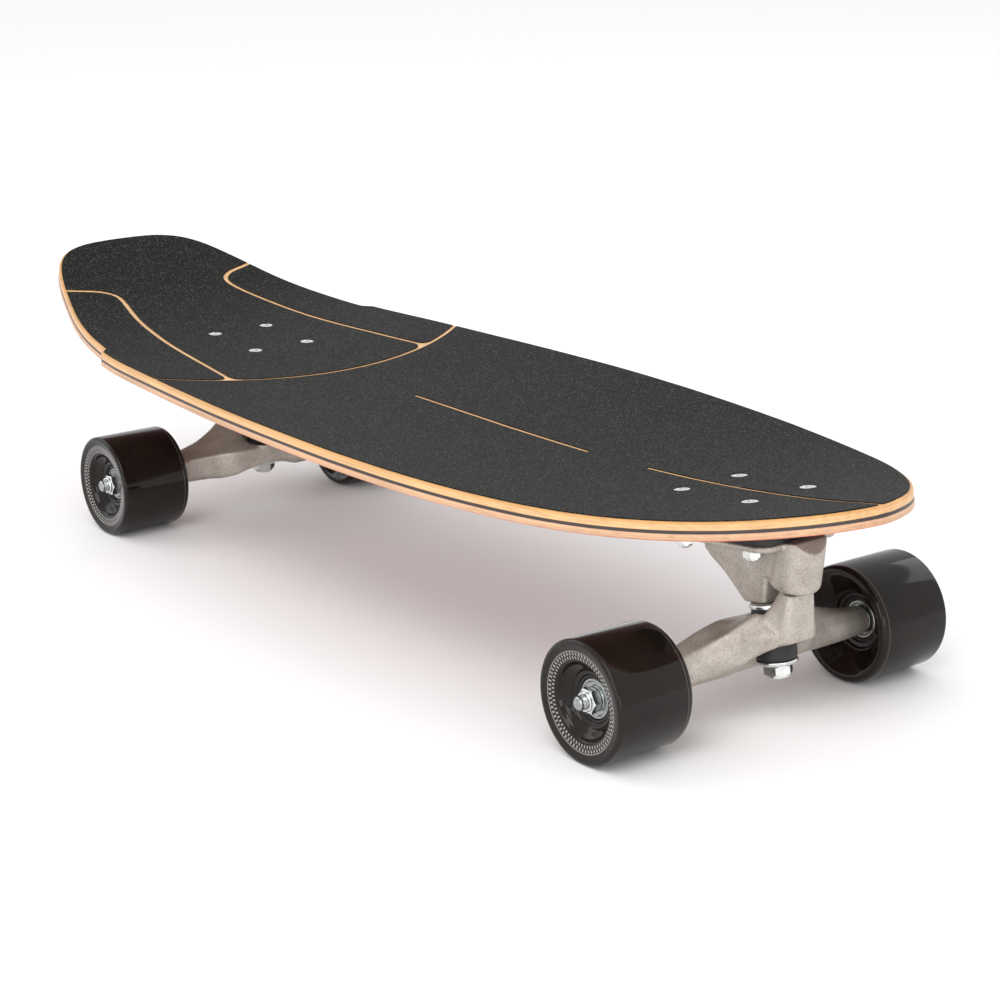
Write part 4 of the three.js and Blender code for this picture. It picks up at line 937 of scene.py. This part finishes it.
KINGPIN_NUT_TURN = math.radians(8)


def section(centre, tilt, half_depth, half_width, inner_width, corner):
    plan = soften([(half_depth, half_width), (-half_depth, inner_width), (-half_depth, -inner_width),
                   (half_depth, -half_width)], corner, 6)
    return moved((np.column_stack([plan, np.zeros(len(plan))]), []), tilted(centre, tilt))[0]


def block(inner, low):
    plan = [(inner, -CUT_WIDE), (CUT_LONG, -CUT_WIDE), (CUT_LONG, CUT_WIDE), (inner, CUT_WIDE)]
    return prism(plan, low, CUT_HIGH)


def base_plate(truck):
    """The flange, the web down to the kingpin's lobe, and the barrel that holds the pivot cup."""
    m, s = truck.frame, truck.stack
    pivot, lean, name = truck.pivot_at, truck.lean, truck.name + "_base_plate"
    lobe = placed((-LOBE_SHIFT, 0, s.lobe), tilted(truck.ring_at, lean))
    half = LOBE_LENGTH / 2
    top = (FLANGE_BOTTOM + FLANGE_TOP) / 2
    rings = []
    for fall, inner_share, outer_share in truck.web:
        inner = lobe[0] - half - inner_share * truck.web_reach
        outer = lobe[0] + half + outer_share * (pivot[0] - lobe[0] - half)
        centre = ((inner + outer) / 2, 0, top + fall * (lobe[2] - top))
        wide = WEB_TOP_HALF + fall * (WEB_LOW_HALF - WEB_TOP_HALF)
        rings.append(section(centre, fall * lean, (outer - inner) / 2, wide, wide, WEB_CORNER))
    web = to_mesh(name + "_fine", loft(rings), m)
    barrel = [(0, MOUTH)] + [(r, MOUTH + z) for r, z in MOUTH_EDGE]
    barrel += [(BARREL_RADIUS, truck.barrel_rise), (0, truck.barrel_rise)]
    flange = plate(footprint, FLANGE_BOTTOM, FLANGE_TOP, 0.5)
    combine(web, "UNION", (lathe(barrel), truck.on_barrel), (flange, m))
    roof_at = m @ tilted((truck.roof_out, 0, FLANGE_TOP), truck.roof_tilt)
    pocket = rod(KINGPIN_HEAD_RADIUS + FIT, s.top - KINGPIN_HEAD - FIT, s.top + 60, 32)
    combine(
        web, "DIFFERENCE", (block(-CUT_LONG, FLANGE_TOP), m), (block(0, 0), roof_at),
        (rod(KINGPIN_HOLE, s.lobe - 1, s.top, 32), truck.on_kingpin), (pocket, truck.on_kingpin),
        (rod(CUP_OUT + FIT, MOUTH - 1, CUP_OUT + FIT, 48), truck.on_barrel))
    dress(cast(web, 3), name, 60)


def steered(truck, degrees):
    """The turn of the kingpin's pieces, seen from the hanger, when the hanger steers by degrees."""
    ring, pivot = placed(truck.ring_at, truck.frame), placed(truck.pivot_at, truck.frame)
    turn = np.eye(4)
    turn[:3, :3] = np.array(Matrix.Rotation(math.radians(degrees), 3, Vector(pivot - ring)))
    return shift_by(*ring) @ turn @ shift_by(*-ring)


def arms(truck):
    """Both arms of the hanger, through the wing's sections to their round ends."""
    axle, wing = truck.axle, np.array(truck.wing)
    table = wing[:, 1:].reshape(len(wing), -1, 2) / 100
    count = table.shape[1]
    round_end = on_circle((2 * np.arange(count) / count + ARM_TURN) * math.pi)
    places = np.append(wing[:, 0], 1)
    table = np.concatenate([table, [round_end]])
    places = np.concatenate([-places[:0:-1], places])
    table = np.concatenate([table[:0:-1], table])
    rings = []
    for place in np.linspace(-1, 1, ARM_RINGS):
        corners = cubic(places, table, np.array([place]))[0]
        ring = soften(corners * ARM_END, ARM_CORNER, 3)
        along = np.full(len(ring), place * HANGER_WIDTH / 2)
        rings.append(np.column_stack([axle[0] + ring[:, 0], along, axle[2] + ring[:, 1]]))
    return loft(rings)


def neck(truck):
    """The neck, from its foot on the axle to its top under the barrel."""
    axle, lean = truck.axle, truck.barrel
    foot_out, foot_rise, *foot = truck.foot
    waist_out, waist_rise, *waist = truck.waist
    top = placed((truck.neck_shift, 0, MOUTH - NECK_GAP), tilted(truck.pivot_at, lean))
    sections = np.array([
        section(axle + (foot_out, 0, foot_rise), 0, *foot, FOOT_CORNER),
        section(axle + (waist_out, 0, waist_rise), lean / 2, *waist, WAIST_CORNER),
        section(top, lean, *truck.neck, TOP_CORNER),
    ])
    return loft(cubic([0, 0.5, 1], sections, np.linspace(0, 1, NECK_RINGS)))


def hanger(truck):
    """The arms, the ring around the kingpin and the neck, cut clear of the stack while it steers."""
    m, s, name, radius = truck.frame, truck.stack, truck.name + "_hanger", truck.ring_radius
    lay = m @ shift_by(truck.axle[0], 0, truck.axle[2]) @ lying()
    rim, long, wide = s.rim, HANGER_WIDTH / 2 + BOSS_REACH, BOSS_RADIUS
    boss = lathe([(0, -long), (wide - 0.2, -long), (wide, 0.2 - long), (wide, long - 0.2), (wide - 0.2, long),
                  (0, long)], 48)
    eye = lathe(soften([(0, -rim), (radius, -rim), (radius, rim), (0, rim)], 1.5, closed=False))
    body = to_mesh(name + "_fine", arms(truck), m)
    combine(body, "UNION", (boss, lay), (eye, truck.on_kingpin), (neck(truck), m),
            (lathe(STEM, 32), truck.on_barrel))
    washer, nut = LOWER_WASHER_RADIUS + STEER_ROOM, KINGPIN_NUT_FLATS / math.sqrt(3) + STEER_ROOM
    step, low = s.washer_low - STEER_ROOM, s.nut_low - radius
    swept = [
        rod(UPPER_WASHER_RADIUS + STEER_ROOM, rim, s.lobe + radius),
        lathe([(0, low), (nut, low), (nut, step), (washer, step), (washer, -rim), (0, -rim)]),
    ]
    rooms = [
        rod(UPPER_BUSHING_RADIUS + FIT, s.seat, rim + 1),
        rod(LOWER_BUSHING_RADIUS + FIT, -rim - 1, -s.seat),
        rod(RING_HOLE, -rim, rim, 48),
    ]
    cutters = [(r, truck.on_kingpin) for r in rooms]
    for share in np.linspace(-1, 1, STEER_STEPS):
        turn = steered(truck, share * truck.steer)
        cutters += [(r, turn @ truck.on_kingpin) for r in swept]
    combine(body, "DIFFERENCE", *cutters, (rod(AXLE_BORE, -HANGER_WIDTH, HANGER_WIDTH, 32), lay))
    dress(cast(body, 5), name, 60)


def bushing(r, low, high):
    lip, bow, edge = r - 1.4, r + 0.25, 1.4
    corners = [(KINGPIN_HOLE, low), (lip, low), (r, low + edge), (bow, (low + high) / 2), (r, high - edge),
               (lip, high), (KINGPIN_HOLE, high)]
    return soften(corners, (0, 0.5, 0.8, 2, 0.8, 0.5, 0))


def cupped_washer(r, flat, rim):
    way = 1 if rim > flat else -1
    face = flat + way * WASHER
    corners = [(KINGPIN_HOLE, flat), (r - 1.4, flat), (r, flat + way * 1.1), (r, rim), (r - 1.0, rim),
               (r - 1.3, face), (KINGPIN_HOLE, face)]
    return soften(corners, (0, 0.9, 0.9, 0.4, 0.4, 0.6, 0), 3)


def stack_pieces(truck):
    """The bushings, washers, kingpin and nut through the ring, and the pivot cup."""
    s, at, name = truck.stack, truck.on_kingpin, truck.name
    upper_rim, lower_rim = s.upper_high + FIT - WASHER_LIP, s.lower_low - FIT + WASHER_LIP
    for label, profile, sharp in (
        ("upper_bushing", bushing(UPPER_BUSHING_RADIUS, s.upper_low, s.upper_high), 35),
        ("lower_bushing", bushing(LOWER_BUSHING_RADIUS, s.lower_low, s.lower_high), 35),
        ("upper_washer", cupped_washer(UPPER_WASHER_RADIUS, s.lobe - FIT, upper_rim), 50),
        ("lower_washer", cupped_washer(LOWER_WASHER_RADIUS, s.washer_low, lower_rim), 50),
    ):
        put(f"{name}_{label}", lathe(profile), at, sharp)
    head, tip, r, wide = s.top - KINGPIN_HEAD, s.nut_low - 0.6, KINGPIN_RADIUS, KINGPIN_HEAD_RADIUS
    profile = [(0, tip), (r - 1, tip), (r - 0.3, tip + 0.6)]
    profile += thread(r, tip + 0.7, s.washer_low + 2, 1.1, 0.4)[1:]
    profile += [(r, s.washer_low + 3), (r, head), (wide - 0.5, head), (wide, head + 0.5),
                (wide, s.top - 0.6), (wide - 0.6, s.top), (0, s.top)]
    put(f"{name}_kingpin", lathe(profile, 32), at)
    c, d = math.cos(KINGPIN_NUT_TURN), math.sin(KINGPIN_NUT_TURN)
    turned = np.array([[c, -d, 0, 0], [d, c, 0, 0], [0, 0, 1, 0], [0, 0, 0, 1.0]])
    nut = hex_nut(f"{name}_kingpin_nut_fine", KINGPIN_NUT_FLATS, -s.nut_high, -(s.nut_low + NUT_COLLAR),
                  r - THREAD_GAP, at @ turned @ FLIP)
    dress(nut, f"{name}_kingpin_nut", 32)
    cup = [(0, CUP_OUT), (CUP_OUT * 0.7, CUP_OUT - 0.4), (CUP_OUT, CUP_OUT * 0.6), (CUP_OUT, -4), (CUP_IN, -4),
           (CUP_IN, 0), (CUP_IN * SLANT, CUP_IN * SLANT), (0, CUP_IN)]
    put(f"{name}_pivot_cup", lathe(cup, 32), truck.on_barrel)


def axle_piece(truck):
    half, r = AXLE_LENGTH / 2, AXLE_RADIUS
    side = thread(r, WHEEL_FACE + WHEEL_WIDTH - HUB_RECESS + 1, half - 0.7, 0.9, 0.3)
    side += [(r - 0.3, half - 0.6), (r - 1.0, half), (0, half)]
    profile = [(r, -z) for r, z in side[::-1]] + side
    put(truck.name + "_axle", lathe(profile, 48), shift_by(*truck.axle_at) @ lying(), 40)


for truck in TRUCKS:
    pad = plate(footprint, RISER_TOP - RISER, RISER_TOP, 0.6)
    put(truck.name + "_riser_pad", pad, truck.frame)
    base_plate(truck)
    hanger(truck)
    stack_pieces(truck)
    axle_piece(truck)

# Wheels
INNER_LOW, OUTER_HIGH = INNER_RECESS, WHEEL_WIDTH - HUB_RECESS
OUTER_LOW = OUTER_HIGH - BEARING_WIDTH
CORE_LOW, CORE_HIGH = INNER_LOW + BEARING_WIDTH + FIT, OUTER_LOW - FIT
SEAT, CORE_RADIUS = BEARING_RADIUS + FIT, 9.0
TREAD_FACETS, SPACER_RADIUS, SPEED_WASHER_RADIUS, SPEED_WASHER = 120, 6.2, 6.3, 0.8
AXLE_NUT_HEIGHT, AXLE_NUT_BORE = 5.4, 3.75
BEARING_OUTLINE = [
    (AXLE_BORE, -3.5), (10.6, -3.5), (BEARING_RADIUS, -3.1), (BEARING_RADIUS, 3.1), (10.6, 3.5), (9.5, 3.5),
    (9.35, 3.2), (9.1, 3.05), (8.9, 2.85), (6.9, 2.85), (6.7, 3.05), (6.45, 3.2), (6.3, 3.5), (4.8, 3.5),
    (AXLE_BORE, 3.1),
]


def wheel_profile():
    """The wheel's outline, from the outer bearing's seat over the tread to the inner one and along the bore."""
    r, w, a, b = AXLE_HEIGHT, WHEEL_WIDTH, INNER_LOW, OUTER_HIGH
    outer = [
        (SEAT, b + 0.2), (12.6, b + 0.2), (13.2, b + 1.2), (15.2, b + 1.5), (16.2, b + 2.9), (20.0, b + 5.0),
        (21.4, w - 2.6), (22.6, w - 2.0), (31.4, w - 0.05), (32.9, w - 0.4), (33.7, w - 1.3), (r, w - 3.0),
    ]
    inner = [
        (r, 3.6), (33.3, 1.5), (32.0, 0.3), (30.2, 0), (28.6, 0.7), (25.0, 4.0), (20.4, 8.6),
        (17.6, a - 3.2), (16.4, a - 2.8), (15.8, a - 1.4), (13.4, a - 1.0), (12.9, a), (SEAT, a),
    ]
    core = [(SEAT, CORE_LOW), (CORE_RADIUS, CORE_LOW), (CORE_RADIUS, CORE_HIGH), (SEAT, CORE_HIGH)]
    outer_soft = [0, 0.3, 0.6, 0.5, 1.0, 1.6, 1.0, 0.9, 0.7, 0.6, 0.6, 1.0]
    inner_soft = [1.6, 1.4, 1.4, 1.5, 1.5, 3.0, 2.5, 1.2, 0.5, 0.4, 0.5, 0.3, 0]
    outer, inner = soften(outer, outer_soft, closed=False), soften(inner, inner_soft, closed=False)
    return np.vstack([outer, inner, core])


def bearing(low, outward):
    middle = low + BEARING_WIDTH / 2
    return lathe([(r, middle + outward * z) for r, z in BEARING_OUTLINE])


def wheel_set(label, at):
    """A wheel and what turns with it, from its inner face outwards. Each point of the tread keeps its place."""
    profile = wheel_profile()
    wheel = lathe(profile, TREAD_FACETS)
    obj = to_mesh(f"{label}_wheel_fine", wheel, at)
    turn = np.tile(np.arange(TREAD_FACETS) / TREAD_FACETS, len(profile))
    x, y, z = wheel[0].T
    local = np.column_stack([np.hypot(x, y), turn, z])
    obj.data.attributes.new("local", "FLOAT_VECTOR", "POINT").data.foreach_set("vector", local.ravel())
    dress(obj, f"{label}_wheel", 40)
    put(f"{label}_outer_bearing", bearing(OUTER_LOW, 1), at, 30)
    put(f"{label}_inner_bearing", bearing(INNER_LOW, -1), at, 30)
    low, high, wide = CORE_LOW, CORE_HIGH, SPACER_RADIUS
    spacer = [(AXLE_BORE, low), (wide, low), (wide, high), (AXLE_BORE, high)]
    put(f"{label}_bearing_spacer", lathe(spacer, 48), at)
    low, high, wide = OUTER_HIGH + FIT, OUTER_HIGH + FIT + SPEED_WASHER, SPEED_WASHER_RADIUS
    washer = soften([(AXLE_BORE, low), (wide, low), (wide, high), (AXLE_BORE, high)], (0, 0.2, 0.2, 0), 3)
    top = low + AXLE_NUT_HEIGHT
    nut = hex_nut(f"{label}_axle_nut_fine", AXLE_NUT_FLATS, high - 0.1, top, AXLE_NUT_BORE, at)
    combine(nut, "UNION", (lathe(washer, 48), at))
    dress(nut, f"{label}_axle_nut", 32)


for truck in TRUCKS:
    x, _, z = truck.axle_at
    for side_name, side in (("left", 1), ("right", -1)):
        wheel_set(f"{truck.name}_{side_name}", shift_by(x, side * WHEEL_FACE, z) @ lying(side))

# Floor, light and camera, in metres except for the camera's place
FLOOR_REACH, FLOOR_TONE = 12.0, 0.93
SENSOR, PICTURE_WIDTH, FOCAL = 36.0, 1000, 2367.7
CAMERA_AT = (1193.28, -819.08, 480.78)
AZIMUTH, DROP, ROLL = 2.507675, 0.289655, -0.021024
LIGHTS = {
    "key": ((1.2, -1.6, 2.2), (0, 0, 0.1), (1.6, 1.6), 26),
    "fill": ((-1.8, -1.2, 1.4), (0, 0, 0.1), (1.4, 1.4), 8),
    "back": ((0.2, 2.2, 1.6), (0, 0, 0.1), (2.0, 1.0), 10),
    "low": ((0.9, -2.0, 0.6), (0.1, 0, 0.05), (1.2, 0.7), 7),
    "front": ((2.4, -0.7, 0.45), (0.2, 0, 0.08), (1.2, 0.6), 7),
}

floor_mesh = bpy.data.meshes.new("floor")
corners = [(x * FLOOR_REACH, y * FLOOR_REACH, 0) for x, y in ((-1, -1), (1, -1), (1, 1), (-1, 1))]
floor_mesh.from_pydata(corners, [], [(0, 1, 2, 3)])
floor = new_object("floor", floor_mesh)
floor_look = Look("floor")
floor_look.set(Base_Color=(FLOOR_TONE,) * 3, Roughness=0.8)
floor_mesh.materials.append(floor_look.material)
floor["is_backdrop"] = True

world = bpy.data.worlds.new("studio")
bpy.context.scene.world = world
world.use_nodes = True
background = world.node_tree.nodes["Background"]
background.inputs["Color"].default_value = (1, 1, 1, 1)
background.inputs["Strength"].default_value = 1.0

for name, (place, target, size, power) in LIGHTS.items():
    data = bpy.data.lights.new(name, "AREA")
    data.shape = "RECTANGLE"
    data.size, data.size_y = size
    data.energy = power
    light = new_object(name, data)
    light.location = place
    light.rotation_euler = (Vector(target) - Vector(place)).to_track_quat("-Z", "Y").to_euler()

camera_data = bpy.data.cameras.new("camera")
camera_data.sensor_width = SENSOR
camera_data.lens = FOCAL * SENSOR / PICTURE_WIDTH
camera_data.clip_end = 100
camera = new_object("camera", camera_data)
camera.location = ((CAMERA_AT[0] + SHIFT[0]) * MM, CAMERA_AT[1] * MM, CAMERA_AT[2] * MM)
way = Vector((math.cos(AZIMUTH) * math.cos(DROP), math.sin(AZIMUTH) * math.cos(DROP), -math.sin(DROP)))
right = way.cross(Vector((0, 0, 1))).normalized()
up = right.cross(way)
c, s = math.cos(ROLL), math.sin(ROLL)
right, up = c * right + s * up, c * up - s * right
camera.rotation_euler = Matrix((right, up, -way)).transposed().to_euler()
bpy.context.scene.camera = camera
bpy.context.scene.view_settings.view_transform = "Standard"

low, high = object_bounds()
